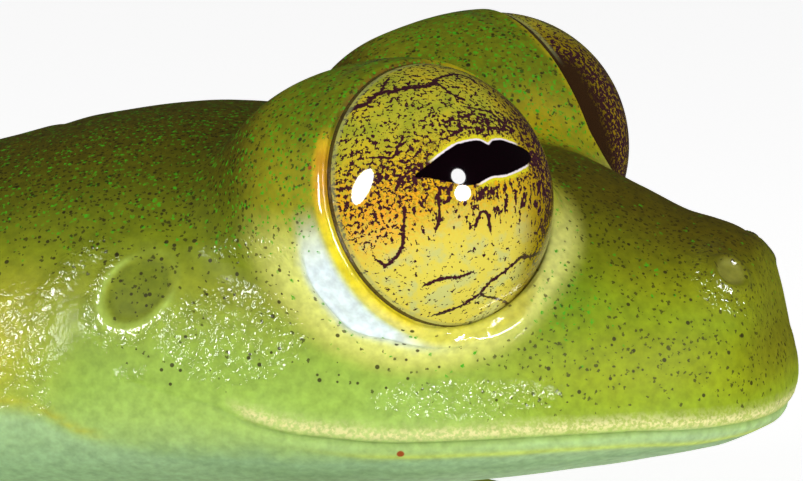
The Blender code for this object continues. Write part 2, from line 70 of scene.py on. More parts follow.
def applyAll(piece):
    selectOnly(piece)
    for modifier in list(piece.modifiers):
        bpy.ops.object.modifier_apply(modifier=modifier.name)


def named(name):
    piece = bpy.context.object
    piece.name = name
    piece.data.name = name
    return piece


def placed(piece):
    selectOnly(piece)
    bpy.ops.object.transform_apply(location=True, rotation=True, scale=True)
    return piece


def joined(name, pieces):
    selectOnly(*pieces)
    if len(pieces) > 1:
        bpy.ops.object.join()
    return named(name)


def readPoints(piece):
    flat = np.empty(len(piece.data.vertices) * 3, np.float32)
    piece.data.vertices.foreach_get("co", flat)
    return flat.reshape(-1, 3).astype(float)


def writePoints(piece, points):
    piece.data.vertices.foreach_set("co", points.astype(np.float32).ravel())
    piece.data.update()


def readNormals(piece):
    flat = np.empty(len(piece.data.vertices) * 3, np.float32)
    piece.data.vertex_normals.foreach_get("vector", flat)
    return flat.reshape(-1, 3).astype(float)


def ramp(values, low, high):
    t = np.clip((values - low) / (high - low), 0, 1)
    return t * t * (3 - 2 * t)


def hump(values, middle, spread):
    return np.exp(-((values - middle) / spread) ** 2)


def curveThrough(places, values, at):    # smooth, and never past the values it passes through
    x, y = np.asarray(places, float), np.asarray(values, float)
    steps = np.diff(y) / np.diff(x)
    slopes = np.concatenate([steps[:1], np.zeros(len(x) - 2), steps[-1:]])
    sameWay = steps[:-1] * steps[1:] > 0
    mean = 2 * steps[:-1] * steps[1:] / np.where(sameWay, steps[:-1] + steps[1:], 1)
    slopes[1:-1] = np.where(sameWay, mean, 0)
    i = np.clip(np.searchsorted(x, at) - 1, 0, len(x) - 2)
    width = x[i + 1] - x[i]
    t = np.clip((at - x[i]) / width, 0, 1)
    start = (2 * t**3 - 3 * t**2 + 1) * y[i] + (t**3 - 2 * t**2 + t) * width * slopes[i]
    return start + (3 * t**2 - 2 * t**3) * y[i + 1] + (t**3 - t**2) * width * slopes[i + 1]


# Trunk and head: place along the body, top, bottom, half width, height of the widest line,
# and how square the section is above and below that line
trunk = {
    "around": 96,
    "rings": 190,
    "sections": (
        (3.66, -1.94, -2.14, 0.08, -2.04, 2.0, 2.0),
        (3.65, -1.76, -2.26, 0.42, -2.09, 2.0, 2.0),
        (3.61, -1.56, -2.40, 0.78, -2.15, 2.0, 2.0),
        (3.53, -1.34, -2.52, 1.04, -2.20, 2.0, 2.0),
        (3.40, -0.84, -2.61, 1.32, -2.22, 2.0, 2.0),
        (3.31, -0.64, -2.66, 1.46, -2.23, 2.0, 2.0),
        (3.15, -0.53, -2.72, 1.64, -2.24, 2.0, 2.1),
        (2.98, -0.44, -2.78, 1.80, -2.25, 2.0, 2.1),
        (2.74, -0.37, -2.83, 1.99, -2.25, 2.0, 2.2),
        (2.47, -0.30, -2.88, 2.15, -2.25, 2.0, 2.2),
        (1.90, -0.04, -2.97, 2.46, -2.25, 2.0, 2.2),
        (1.20, 0.25, -3.08, 2.76, -2.25, 2.1, 2.2),
        (0.40, 0.43, -3.18, 3.02, -2.25, 2.2, 2.2),
        (-0.60, 0.57, -3.28, 3.25, -2.22, 2.3, 2.2),
        (-1.60, 0.67, -3.35, 3.42, -2.15, 2.3, 2.2),
        (-2.60, 0.70, -3.42, 3.50, -2.10, 2.3, 2.2),
        (-3.30, 0.64, -3.46, 3.48, -2.10, 2.3, 2.2),
        (-4.00, 0.52, -3.52, 3.40, -2.15, 2.3, 2.2),
        (-5.00, 0.22, -3.66, 3.40, -2.25, 2.2, 2.2),
        (-6.50, -0.15, -3.90, 3.62, -2.45, 2.2, 2.3),
        (-8.00, -0.38, -4.12, 3.88, -2.60, 2.2, 2.3),
        (-9.50, -0.50, -4.30, 3.90, -2.75, 2.2, 2.3),
        (-11.0, -0.64, -4.40, 3.58, -2.85, 2.1, 2.3),
        (-12.2, -0.98, -4.42, 3.08, -2.95, 2.0, 2.2),
        (-13.5, -1.58, -4.38, 2.52, -3.10, 2.0, 2.1),
        (-14.6, -2.22, -4.28, 2.02, -3.25, 2.0, 2.0),
        (-15.4, -2.76, -4.12, 1.48, -3.40, 2.0, 2.0),
        (-15.9, -3.12, -3.94, 0.90, -3.50, 2.0, 2.0),
        (-16.1, -3.42, -3.72, 0.30, -3.56, 2.0, 2.0),
    ),
    "brow": ((-0.45, 1.98, -0.16), (1.73, 1.53, 1.55)),    # the swelling behind each eye
    "taut": 0.035,            # the fused skin lies this much inside the sections
}
snout, vent = trunk["sections"][0][0], trunk["sections"][-1][0]
sectionTable = np.array(trunk["sections"][::-1])


def sectionsAt(x):    # top, bottom, half width, widest height, squareness above and below
    return [curveThrough(sectionTable[:, 0], sectionTable[:, k], x) for k in range(1, 7)]


def addTrunk():
    bpy.ops.mesh.primitive_uv_sphere_add(segments=trunk["around"], ring_count=trunk["rings"])
    piece = named("trunk")
    sphere = readPoints(piece)
    x = vent + (snout - vent) * (sphere[:, 2] + 1) / 2
    top, bottom, half, middle, upper, lower = sectionsAt(x)
    girth = np.hypot(sphere[:, 0], sphere[:, 1])
    c, s = sphere[:, 0] / np.maximum(girth, 1e-6), sphere[:, 1] / np.maximum(girth, 1e-6)
    power = np.where(s >= 0, upper, lower)
    end = np.where(s >= 0, top, bottom)
    offPole = girth > 1e-5
    y = np.where(offPole, half * np.sign(c) * np.abs(c) ** (2 / power), 0)
    z = np.where(offPole, middle + (end - middle) * np.abs(s) ** (2 / power), middle)
    writePoints(piece, np.stack([x, y, z], 1))
    return piece


def addBall(name, centre, radii, segments=64, rings=48):
    bpy.ops.mesh.primitive_uv_sphere_add(
        segments=segments, ring_count=rings, location=centre, scale=radii
    )
    return placed(named(name))


def eyeMiddle(side):
    return Vector((0, side * eyes["spacing"] / 2, 0))


def sided(vector, side):
    return Vector((vector[0], side * vector[1], vector[2]))


def rimAxisOf(side):
    return sided(eyes["rimAxis"], side).normalized()


def sheer(piece, point, normal):    # cuts away what lies on the normal's side and closes the cut
    selectOnly(piece)
    bpy.ops.object.mode_set(mode="EDIT")
    bpy.ops.mesh.select_all(action="SELECT")
    bpy.ops.mesh.bisect(plane_co=point, plane_no=normal, use_fill=True, clear_outer=True)
    bpy.ops.object.mode_set(mode="OBJECT")
    return piece


def rimMiddle(side):
    return eyeMiddle(side) + rimAxisOf(side) * eyes["radius"] * math.cos(math.radians(eyes["rimAngle"]))


def addLids(side):    # the ball's cover and the swelling behind it, both open at the rim
    thick = eyes["radius"] + eyes["lid"]
    browPlace, browRadii = trunk["brow"]
    pieces = [
        addBall("lids", eyeMiddle(side), (thick,) * 3),
        addBall("brow", sided(browPlace, side), browRadii),
    ]
    return [sheer(piece, rimMiddle(side), rimAxisOf(side)) for piece in pieces]


def cutWith(piece, cutter):
    cut = piece.modifiers.new("cut", "BOOLEAN")
    cut.object = cutter
    cut.solver = "MANIFOLD"
    applyAll(piece)


def addHeadAndTrunk():
    body = addTrunk()
    pieces = [body]
    for side in (1, -1):
        lids = addLids(side)
        face = addBall("face", eyeMiddle(side), (eyes["radius"],) * 3)
        sheer(face, rimMiddle(side), -rimAxisOf(side))
        well = addBall("well", eyeMiddle(side), (eyes["well"],) * 3, 32, 24)
        cutWith(body, face)
        for piece in (body, *lids):
            cutWith(piece, well)
        bpy.data.objects.remove(face)
        bpy.data.objects.remove(well)
        pieces += lids
    return pieces


# Limbs of the left side: joints, then thickness along each length as radii
limbs = {
    "shoulder": (-4.9, 2.4, -2.55),
    "elbow": (-6.6, 5.95, -3.0),
    "wrist": (-3.85, 5.1, -4.25),
    "palm": (-2.9, 4.65, -4.5),
    "hip": (-13.0, 1.3, -2.65),
    "knee": (-7.0, 8.5, -2.65),
    "heel": (-16.2, 3.1, -4.1),
    "instep": (-12.4, 6.45, -4.46),
    "upperArm": (0.86, 0.80, 0.70, 0.62, 0.58),
    "forearm": (0.56, 0.68, 0.70, 0.58, 0.44),
    "thigh": (1.35, 1.38, 1.32, 1.15, 0.95, 0.86),
    "shank": (0.82, 0.98, 1.00, 0.86, 0.66, 0.50, 0.47),
    "tarsus": (0.47, 0.42, 0.40, 0.44),
}
# Fingers and toes: heading from the body's axis in degrees, length, radius of the tip's disc
digits = {
    "fingers": ((-70, 2.9, 0.40), (-42, 3.1, 0.41), (-16, 4.5, 0.50), (10, 3.7, 0.47)),
    "toes": ((-14, 3.0, 0.36), (-1, 4.3, 0.38), (9, 5.9, 0.42), (19, 7.5, 0.45), (30, 5.9, 0.43)),
    "radius": 0.24,
    "height": 0.33,
    "arch": 0.10,
    "discThickness": 0.25,
    "discHeight": 0.17,
    "webThickness": 0.17,
    "fingerWebs": ((0, 0.25), (1, 0.30), (2, 0.48)),     # first digit, share of the length
    "toeWebs": ((0, 0.66), (1, 0.68), (2, 0.70), (3, 0.74)),
    "palm": (0.85, 0.80, 0.47),
    "sole": (1.0, 0.66, 0.50),
    "soleTurn": 0.45,
}


def addRod(name, points, radii, segments=28, rings=44, round=1.0):
    # a sphere drawn out along a bowed line, with half balls for ends
    line = np.array(points, float)
    lengths = np.concatenate([[0], np.cumsum(np.linalg.norm(np.diff(line, axis=0), axis=1))])
    total = lengths[-1]
    bpy.ops.mesh.primitive_uv_sphere_add(segments=segments, ring_count=rings)
    piece = named(name)
    sphere = readPoints(piece)
    first, last = radii[0], radii[-1]
    run = -first + (total + first + last) * (sphere[:, 2] + 1) / 2
    at = np.clip(run, 0, total)
    thick = curveThrough(np.linspace(0, total, len(radii)), radii, at)
    beyond = np.abs(run - at) / np.where(run < 0, first, last)
    thick = thick * np.sqrt(np.clip(1 - beyond**2, 0, 1))
    middle = np.stack([np.interp(at, lengths, line[:, k]) for k in range(3)], 1)
    ahead = np.stack([np.interp(at + 0.05, lengths, line[:, k]) for k in range(3)], 1)
    behind = np.stack([np.interp(at - 0.05, lengths, line[:, k]) for k in range(3)], 1)
    way = ahead - behind
    way /= np.linalg.norm(way, axis=1)[:, None]
    side = np.cross([0, 0, 1], way)
    side /= np.linalg.norm(side, axis=1)[:, None]
    up = np.cross(way, side)
    girth = np.maximum(np.hypot(sphere[:, 0], sphere[:, 1]), 1e-6)
    c, s = sphere[:, 0] / girth, sphere[:, 1] / girth
    points = middle + way * (run - at)[:, None]
    points += side * (c * thick)[:, None] + up * (s * thick * round)[:, None]
    writePoints(piece, points)
    return piece


def bowed(start, end, bow=(0, 0, 0), count=13):
    start, end = np.array(limbs[start], float), np.array(limbs[end], float)
    shares = np.linspace(0, 1, count)[:, None]
    return start + (end - start) * shares + np.array(bow) * 4 * shares * (1 - shares)


def addDigit(base, heading, length, disc):
    turn = math.radians(heading)
    way = np.array((math.cos(turn), math.sin(turn), 0))
    start = np.array((base[0], base[1], floorLevel + digits["height"]))
    shares = np.linspace(0, 1, 16)
    arch = np.outer(digits["arch"] * np.sin(np.pi * shares), (0, 0, 1))
    line = start + np.outer(shares * (length - 0.9 * disc), way) + arch
    swell = digits["radius"] * (1 + 0.10 * np.cos(6 * np.pi * np.linspace(0, 1, 13)))
    bone = addRod("bone", line, swell, 16, 40)
    tip = np.array((base[0], base[1], floorLevel + digits["discHeight"])) + way * (length - disc)
    bpy.ops.mesh.primitive_uv_sphere_add(
        segments=28, ring_count=20, location=tip, rotation=(0, 0, turn),
        scale=(disc, disc * 1.04, digits["discThickness"]),
    )
    return [bone, placed(named("disc"))]


def addWeb(base, first, second, share):    # a thin skin between two digits, its free edge drawn in
    origin = np.array(base[:2], float)
    rims = []
    for heading, length, disc in (first, second):
        turn = math.radians(heading)
        rims.append(origin + np.array((math.cos(turn), math.sin(turn))) * (length - disc) * share)
    inner = origin + ((rims[0] + rims[1]) / 2 - origin) * 0.82
    t = np.linspace(0, 1, 15)[:, None]
    edge = rims[0] * (1 - t) ** 2 + inner * 2 * t * (1 - t) + rims[1] * t**2
    outline = np.concatenate([[origin], edge])
    bpy.ops.mesh.primitive_circle_add(vertices=len(outline), fill_type="NGON")
    piece = named("web")
    writePoints(piece, np.column_stack([outline, np.full(len(outline), floorLevel + 0.06)]))
    selectOnly(piece)
    bpy.ops.object.mode_set(mode="EDIT")
    bpy.ops.mesh.select_all(action="SELECT")
    bpy.ops.mesh.extrude_region_move(TRANSFORM_OT_translate={"value": (0, 0, digits["webThickness"])})
    bpy.ops.mesh.select_all(action="SELECT")
    bpy.ops.mesh.normals_make_consistent(inside=False)
    bpy.ops.object.mode_set(mode="OBJECT")
    return piece


def addExtremity(base, radii, turn, fingers, webs):
    bpy.ops.mesh.primitive_uv_sphere_add(
        segments=40, ring_count=28, location=base, rotation=(0, 0, turn), scale=radii
    )
    pieces = [placed(named("palm"))]
    for heading, length, disc in fingers:
        pieces += addDigit(base, heading, length, disc)
    for first, share in webs:
        pieces.append(addWeb(base, fingers[first], fingers[first + 1], share))
    return pieces


def addLimbs():
    pieces = [
        addRod("upperArm", bowed("shoulder", "elbow", (-0.15, 0, 0.1)), limbs["upperArm"]),
        addRod("forearm", bowed("elbow", "wrist", (0, 0.15, 0.1)), limbs["forearm"]),
        addRod("wrist", bowed("wrist", "palm"), (0.44, 0.42, 0.40)),
        addRod("thigh", bowed("hip", "knee", (0, 0, 0.1)), limbs["thigh"], 40),
        addRod("shank", bowed("knee", "heel", (0.1, 0.15, 0)), limbs["shank"], 32),
        addRod("tarsus", bowed("heel", "instep", (-0.1, 0.1, -0.05)), limbs["tarsus"]),
    ]
    fingerWebs, toeWebs = digits["fingerWebs"], digits["toeWebs"]
    pieces += addExtremity(limbs["palm"], digits["palm"], 0, digits["fingers"], fingerWebs)
    pieces += addExtremity(limbs["instep"], digits["sole"], digits["soleTurn"], digits["toes"], toeWebs)
    left = joined("limbsLeft", pieces)
    selectOnly(left)
    bpy.ops.object.duplicate()
    right = named("limbsRight")
    points = readPoints(right)
    points[:, 1] *= -1
    writePoints(right, points)
    right.data.flip_normals()
    return [left, right]


# The one skin: everything fused, smoothed, thinned out on the body and refined on the head
sculpt = {
    "voxel": 0.08,
    "softening": 5,
    "bodyTriangles": 26000,
    "headStarts": -4.6,       # ahead of this the mesh keeps its full detail
    "blend": 0.42,            # how softly the eyes' bulges run into the head
    "rimRound": 0.07,         # rounding of the lids' edge
}


def fuse(pieces):
    skin = joined("frogSkin", pieces)
    remesh = skin.modifiers.new("fuse", "REMESH")
    remesh.mode = "VOXEL"
    remesh.voxel_size = sculpt["voxel"]
    soften = skin.modifiers.new("soften", "SMOOTH")
    soften.factor = 0.5
    soften.iterations = sculpt["softening"]
    applyAll(skin)
    return skin


def isHead(points):
    return (points[:, 0] > sculpt["headStarts"]) & (points[:, 2] > -4.0) & (np.abs(points[:, 1]) < 3.9)


def thinBody(skin):
    points = readPoints(skin)
    head = isHead(points)
    group = skin.vertex_groups.new(name="body")
    group.add(np.flatnonzero(~head).tolist(), 1.0, "REPLACE")
    total = sum(len(face.vertices) - 2 for face in skin.data.polygons)
    headShare = 2 * np.count_nonzero(head)
    fewer = skin.modifiers.new("fewer", "DECIMATE")
    fewer.ratio = (headShare + sculpt["bodyTriangles"]) / total
    fewer.vertex_group = "body"
    applyAll(skin)
    skin.vertex_groups.clear()
    left = sum(len(face.vertices) - 2 for face in skin.data.polygons)
    print("skin:", total, "triangles fused, head share", headShare, "left", left)


def smoothLeast(a, b, soft):
    h = np.clip(soft - np.abs(a - b), 0, None) / soft
    return np.minimum(a, b) - h * h * soft / 4


def trunkReach(points):
    x = np.clip(points[:, 0], vent, snout)
    top, bottom, half, middle, upper, lower = sectionsAt(x)
    above = points[:, 2] > middle
    power = np.where(above, upper, lower)
    height = np.abs((points[:, 2] - middle) / (np.where(above, top, bottom) - middle))
    width = np.abs(points[:, 1]) / half
    return (width**power + height**power) ** (1 / power) - 1


def trunkDistance(points, step=0.01):
    slopes = []
    for k in range(3):
        shift = np.zeros(3)
        shift[k] = step
        slopes.append((trunkReach(points + shift) - trunkReach(points - shift)) / (2 * step))
    steepness = np.sqrt(sum(slope**2 for slope in slopes))
    return trunkReach(points) / np.maximum(steepness, 1e-3)


def headDistance(points):    # how far each point lies outside the head with its open sockets
    distance = trunkDistance(points) + trunk["taut"]
    browPlace, browRadii = trunk["brow"]
    browRadii = np.array(browRadii)
    hollows = []
    for side in (1, -1):
        fromEye = points - np.array(eyeMiddle(side))
        reach = np.linalg.norm(fromEye, axis=1)
        ahead = (points - np.array(rimMiddle(side))) @ np.array(rimAxisOf(side))
        inwards = fromEye @ (0.657, -0.753 * side, 0)
        high = ramp(np.maximum(fromEye[:, 2], inwards) / np.maximum(reach, 1e-6), 0.2, 0.9)
        cover = eyes["lid"] + (eyes["topLid"] - eyes["lid"]) * high
        fromBrow = points - np.array(sided(browPlace, side))
        share = np.linalg.norm(fromBrow / browRadii, axis=1)
        slope = np.linalg.norm(fromBrow / browRadii**2, axis=1)
        lids = smoothLeast(reach - eyes["radius"] - cover, share * (share - 1) / slope, 0.25)
        lids = -smoothLeast(-lids, -ahead, sculpt["rimRound"])
        distance = smoothLeast(distance, lids, sculpt["blend"])
        hollows.append(np.minimum(np.maximum(reach - eyes["radius"], -ahead), reach - eyes["well"]))
    for hollow in hollows:
        distance = -smoothLeast(-distance, hollow, sculpt["rimRound"])
    return distance


def refine(skin, wanted, cuts=1):    # divides the faces whose middle is wanted
    selectOnly(skin)
    mesh = skin.data
    count = len(mesh.polygons)
    middles = np.empty(count * 3, np.float32)
    mesh.polygons.foreach_get("center", middles)
    chosen = wanted(middles.reshape(-1, 3).astype(float))
    mesh.vertices.foreach_set("select", np.zeros(len(mesh.vertices), bool))
    mesh.edges.foreach_set("select", np.zeros(len(mesh.edges), bool))
    mesh.polygons.foreach_set("select", chosen)
    bpy.ops.object.mode_set(mode="EDIT")
    bpy.ops.mesh.select_mode(type="FACE")
    bpy.ops.mesh.subdivide(number_cuts=cuts, quadcorner="INNERVERT")
    bpy.ops.mesh.select_mode(type="VERT")
    bpy.ops.object.mode_set(mode="OBJECT")
    print("refined", int(chosen.sum()), "faces")


def relaxOnto(skin, rounds, weight):    # evens the mesh out and draws it onto the exact form
    edges = np.empty(len(skin.data.edges) * 2, np.int32)
    skin.data.edges.foreach_get("vertices", edges)
    a, b = edges.reshape(-1, 2).T
    for _ in range(rounds):
        points = readPoints(skin)
        count = len(points)
        degree = np.bincount(a, minlength=count) + np.bincount(b, minlength=count)
        mean = np.empty_like(points)
        for k in range(3):
            total = np.bincount(a, points[b, k], count) + np.bincount(b, points[a, k], count)
            mean[:, k] = total / np.maximum(degree, 1)
        near = weight > 0
        moved = points[near] + (mean[near] - points[near]) * (0.5 * weight[near])[:, None]
        points[near] = moved
        writePoints(skin, points)
        normals = readNormals(skin)[near]
        for _ in range(2):
            gap = np.clip(headDistance(moved), -0.12, 0.12)
            moved = moved - normals * (gap * weight[near])[:, None]
        points[near] = moved
        writePoints(skin, points)


def headWeight(points):
    weight = ramp(points[:, 0], sculpt["headStarts"], sculpt["headStarts"] + 0.8)
    weight *= 1 - ramp(points[:, 0], 3.52, 3.64)
    close = np.abs(headDistance(points)) < 0.3
    return weight * close * isHead(points)


def nearRim(reach):
    def chosen(middles):
        found = np.zeros(len(middles), bool)
        for side in (1, -1):
            fromEye = middles - np.array(eyeMiddle(side))
            distance = np.linalg.norm(fromEye, axis=1)
            ahead = (middles - np.array(rimMiddle(side))) @ np.array(rimAxisOf(side))
            found |= (np.abs(distance - eyes["radius"]) < reach) & (ahead > -2.2 * reach)
        return found
    return chosen

# Features of the face in millimetres, all given on the left; the right side mirrors them
face = {
    "slit": (                 # the mouth line: place along the head and height
        (-2.85, -1.72), (-2.28, -1.91), (-1.89, -2.00), (-1.49, -2.19), (-0.94, -2.33),
        (0.08, -2.41), (1.49, -2.37), (2.27, -2.36), (3.00, -2.39), (3.75, -2.39),
    ),
    "jawFold": (
        (-2.86, 3.44, -1.67), (-2.50, 3.46, -2.02), (-2.33, 3.44, -2.26), (-2.10, 3.38, -2.40),
        (-1.81, 3.29, -2.51),
    ),
    "neckFold": (
        (-1.50, 3.20, -0.33), (-2.11, 2.92, -0.41), (-2.76, 2.86, -0.34), (-3.33, 2.94, -0.49),
        (-3.71, 3.15, -0.94), (-3.80, 3.33, -1.50), (-3.71, 3.39, -2.10),
    ),
    "ear": (-2.70, 3.20, -0.85),
    "earNormal": (-0.02, 0.89, 0.46),
    "earRadii": (0.30, 0.42),
    "earLean": 38,            # degrees forwards from upright
    "nostril": (3.13, 0.94, -0.83),
    "nostrilNormal": (0.53, 0.50, 0.68),
    "nostrilRing": 0.20,
    "ridge": (                # turn about the eye in degrees, and the lower lid's fold from the rim
        (-150, 0.22), (-127, 0.27), (-114, 0.29), (-102, 0.25), (-86, 0.18),
        (-63, 0.29), (-46, 0.50), (-29, 0.50), (-6, 0.36),
    ),
}


def chainDistance(points, chain, outward):    # to a chain of straight pieces, negative on its right
    best = np.full(len(points), 9.0)
    for start, end in zip(chain[:-1], chain[1:]):
        along = end - start
        share = np.clip(((points - start) @ along) / (along @ along), 0, 1)
        gap = np.linalg.norm(points - start - np.outer(share, along), axis=1)
        left = (np.cross(along, points - start) * outward).sum(1) > 0
        best = np.where(gap < np.abs(best), np.where(left, gap, -gap), best)
    return best


def placesOn(points):    # where each point lies about the features of its own side
    left = points * (1, 0, 1) + np.abs(points) * (0, 1, 0)
    x, z = left[:, 0], left[:, 2]
    found = {"x": x, "z": z}
    axis = np.array(rimAxisOf(1))
    backwards = np.cross((0, 0, 1), axis)
    backwards /= np.linalg.norm(backwards)
    upwards = np.cross(axis, backwards)
    fromEye = left - np.array(eyeMiddle(1))
    ahead = fromEye @ axis
    out = fromEye - np.outer(ahead, axis)
    angle = math.radians(eyes["rimAngle"])
    rimAhead, rimOut = eyes["radius"] * math.cos(angle), eyes["radius"] * math.sin(angle)
    found["reach"] = np.linalg.norm(fromEye, axis=1)
    found["rim"] = np.hypot(ahead - rimAhead, np.linalg.norm(out, axis=1) - rimOut)
    found["turn"] = np.degrees(np.arctan2(out @ upwards, out @ backwards))
    turns, folds = np.array(face["ridge"]).T
    found["ridge"] = found["rim"] - curveThrough(turns, folds, found["turn"])
    places, heights = np.array(face["slit"]).T
    onSide = ramp(x, places[0], places[0] + 0.15)
    found["slit"] = np.where(onSide > 0, z - curveThrough(places, heights, x), 9)
    found["slitShare"] = onSide
    fromEar = left - face["ear"]
    forwards = np.array((1.0, 0, 0))
    upslope = np.cross(forwards, face["earNormal"])
    lean = math.radians(face["earLean"])
    long = forwards * math.sin(lean) + upslope * math.cos(lean)
    short = forwards * math.cos(lean) - upslope * math.sin(lean)
    found["ear"] = np.hypot(fromEar @ short / face["earRadii"][0], fromEar @ long / face["earRadii"][1])
    found["earUp"] = fromEar @ long
    fromNostril = left - face["nostril"]
    normal = np.array(face["nostrilNormal"]) / np.linalg.norm(face["nostrilNormal"])
    found["nostril"] = np.linalg.norm(fromNostril - np.outer(fromNostril @ normal, normal), axis=1)
    found["nostril"] = np.where(np.abs(fromNostril @ normal) < 0.4, found["nostril"], 9)
    found["nostrilFore"] = fromNostril[:, 0] + 0.6 * fromNostril[:, 2]
    for name in ("jawFold", "neckFold"):
        found[name] = np.abs(chainDistance(left, np.array(face[name]), np.array((0, 1, 0))))
    return found


def onFeatures(reach):    # the faces near the mouth line, the ear, the nostril and the lower lid
    def chosen(middles):
        at = placesOn(middles)
        found = (np.abs(at["slit"]) < 1.6 * reach) & (middles[:, 0] > -2.8) & isHead(middles)
        found |= (np.abs(at["ear"] - 1.1) < 3.2 * reach) & (np.abs(middles[:, 1]) > 2.5)
        found |= at["nostril"] < 2.6 * reach
        found |= (np.abs(at["ridge"]) < reach) & (at["turn"] > -135) & (at["turn"] < -15)
        return found
    return chosen


def riseOf(at):    # how far the features stand out of the plain head
    rim, turn, slit = at["rim"], at["turn"], at["slit"]
    nearEye = at["reach"] < 2.1
    lowLid = ramp(turn, -145, -120) * (1 - ramp(turn, -25, -5)) * nearEye
    rearLid = ramp(turn, -150, -125) * (1 - ramp(turn, 30, 70)) * nearEye
    crescent = ramp(turn, -80, -55) * (1 - ramp(turn, -25, -5)) * nearEye
    rise = 0.022 * hump(rim, 0.07, 0.06) * rearLid
    rise += (0.030 * hump(at["ridge"], 0, 0.035) - 0.016 * hump(at["ridge"], 0.09, 0.06)) * lowLid
    rise -= 0.020 * hump(rim, 0.26, 0.09) * crescent
    rise *= ramp(at["reach"], eyes["radius"] + 0.02, eyes["radius"] + 0.06)
    openTop = 1 - 0.75 * ramp(at["earUp"], 0.1, 0.35)
    rise += 0.015 * hump(at["ear"], 1.14, 0.13) * openTop - 0.014 * (1 - ramp(at["ear"], 0.7, 1.0))
    rear = 1 - 0.75 * ramp(at["nostrilFore"], 0, 0.2)
    rise += 0.05 * hump(at["nostril"], 0, 0.40)
    rise += 0.045 * hump(at["nostril"], face["nostrilRing"], 0.04) * rear
    rise -= 0.025 * (1 - ramp(at["nostril"], 0.10, 0.17))
    lips = 0.028 * hump(slit, 0.13, 0.08) + 0.018 * hump(slit, -0.11, 0.07)
    lips -= 0.045 * hump(slit, 0, 0.028)
    rise += lips * at["slitShare"] * (0.3 + 0.7 * ramp(at["x"], -2.0, -1.0))
    rise -= 0.010 * hump(at["jawFold"], 0, 0.05)
    rise += 0.018 * hump(at["neckFold"], 0, 0.12)
    return rise


def raiseFeatures(skin, at):
    points, normals = readPoints(skin), readNormals(skin)
    rise = riseOf(at) * headWeight(points)
    uneven = np.array([noise.noise(Vector(point) * 1.7) for point in points])
    away = ramp(np.abs(at["rim"]), 0.1, 0.4) * ramp(points[:, 2], floorLevel + 0.3, floorLevel + 1.2)
    rise += 0.012 * uneven * away * ramp(at["reach"], eyes["radius"] + 0.03, eyes["radius"] + 0.2)
    points += normals * rise[:, None]
    points[:, 2] = np.maximum(points[:, 2], floorLevel)
    writePoints(skin, points)


print("fusing the skin")
skin = fuse(addHeadAndTrunk() + addLimbs())
thinBody(skin)
relaxOnto(skin, 4, headWeight(readPoints(skin)))
refine(skin, nearRim(0.15))
refine(skin, onFeatures(0.11))
relaxOnto(skin, 3, headWeight(readPoints(skin)))
refine(skin, nearRim(0.07))
refine(skin, onFeatures(0.036))
relaxOnto(skin, 3, headWeight(readPoints(skin)))
skinPlaces = placesOn(readPoints(skin))
raiseFeatures(skin, skinPlaces)
print("skin has", sum(len(face.vertices) - 2 for face in skin.data.polygons), "triangles")


def addAttribute(piece, name, values):
    kind = "FLOAT" if values.ndim == 1 else "FLOAT_VECTOR"
    made = piece.data.attributes.new(name, kind, "POINT")
    made.data.foreach_set("value" if values.ndim == 1 else "vector", values.astype(np.float32).ravel())


def trunkHeight(points):    # 1 along the back's ridge, 0 on the widest line, -1 under the belly
    top, bottom, half, middle, upper, lower = sectionsAt(np.clip(points[:, 0], vent, snout))
    above = points[:, 2] - middle
    return np.clip(above / np.where(above > 0, top - middle, middle - bottom), -1, 1.1)


def tipsOfDigits():
    tips = []
    for base, rows in ((limbs["palm"], digits["fingers"]), (limbs["instep"], digits["toes"])):
        for heading, length, disc in rows:
            turn = math.radians(heading)
            reach = length - disc
            along, aside = math.cos(turn) * reach, math.sin(turn) * reach
            tips.append((base[0] + along, base[1] + aside, floorLevel + 0.2))
    return tips


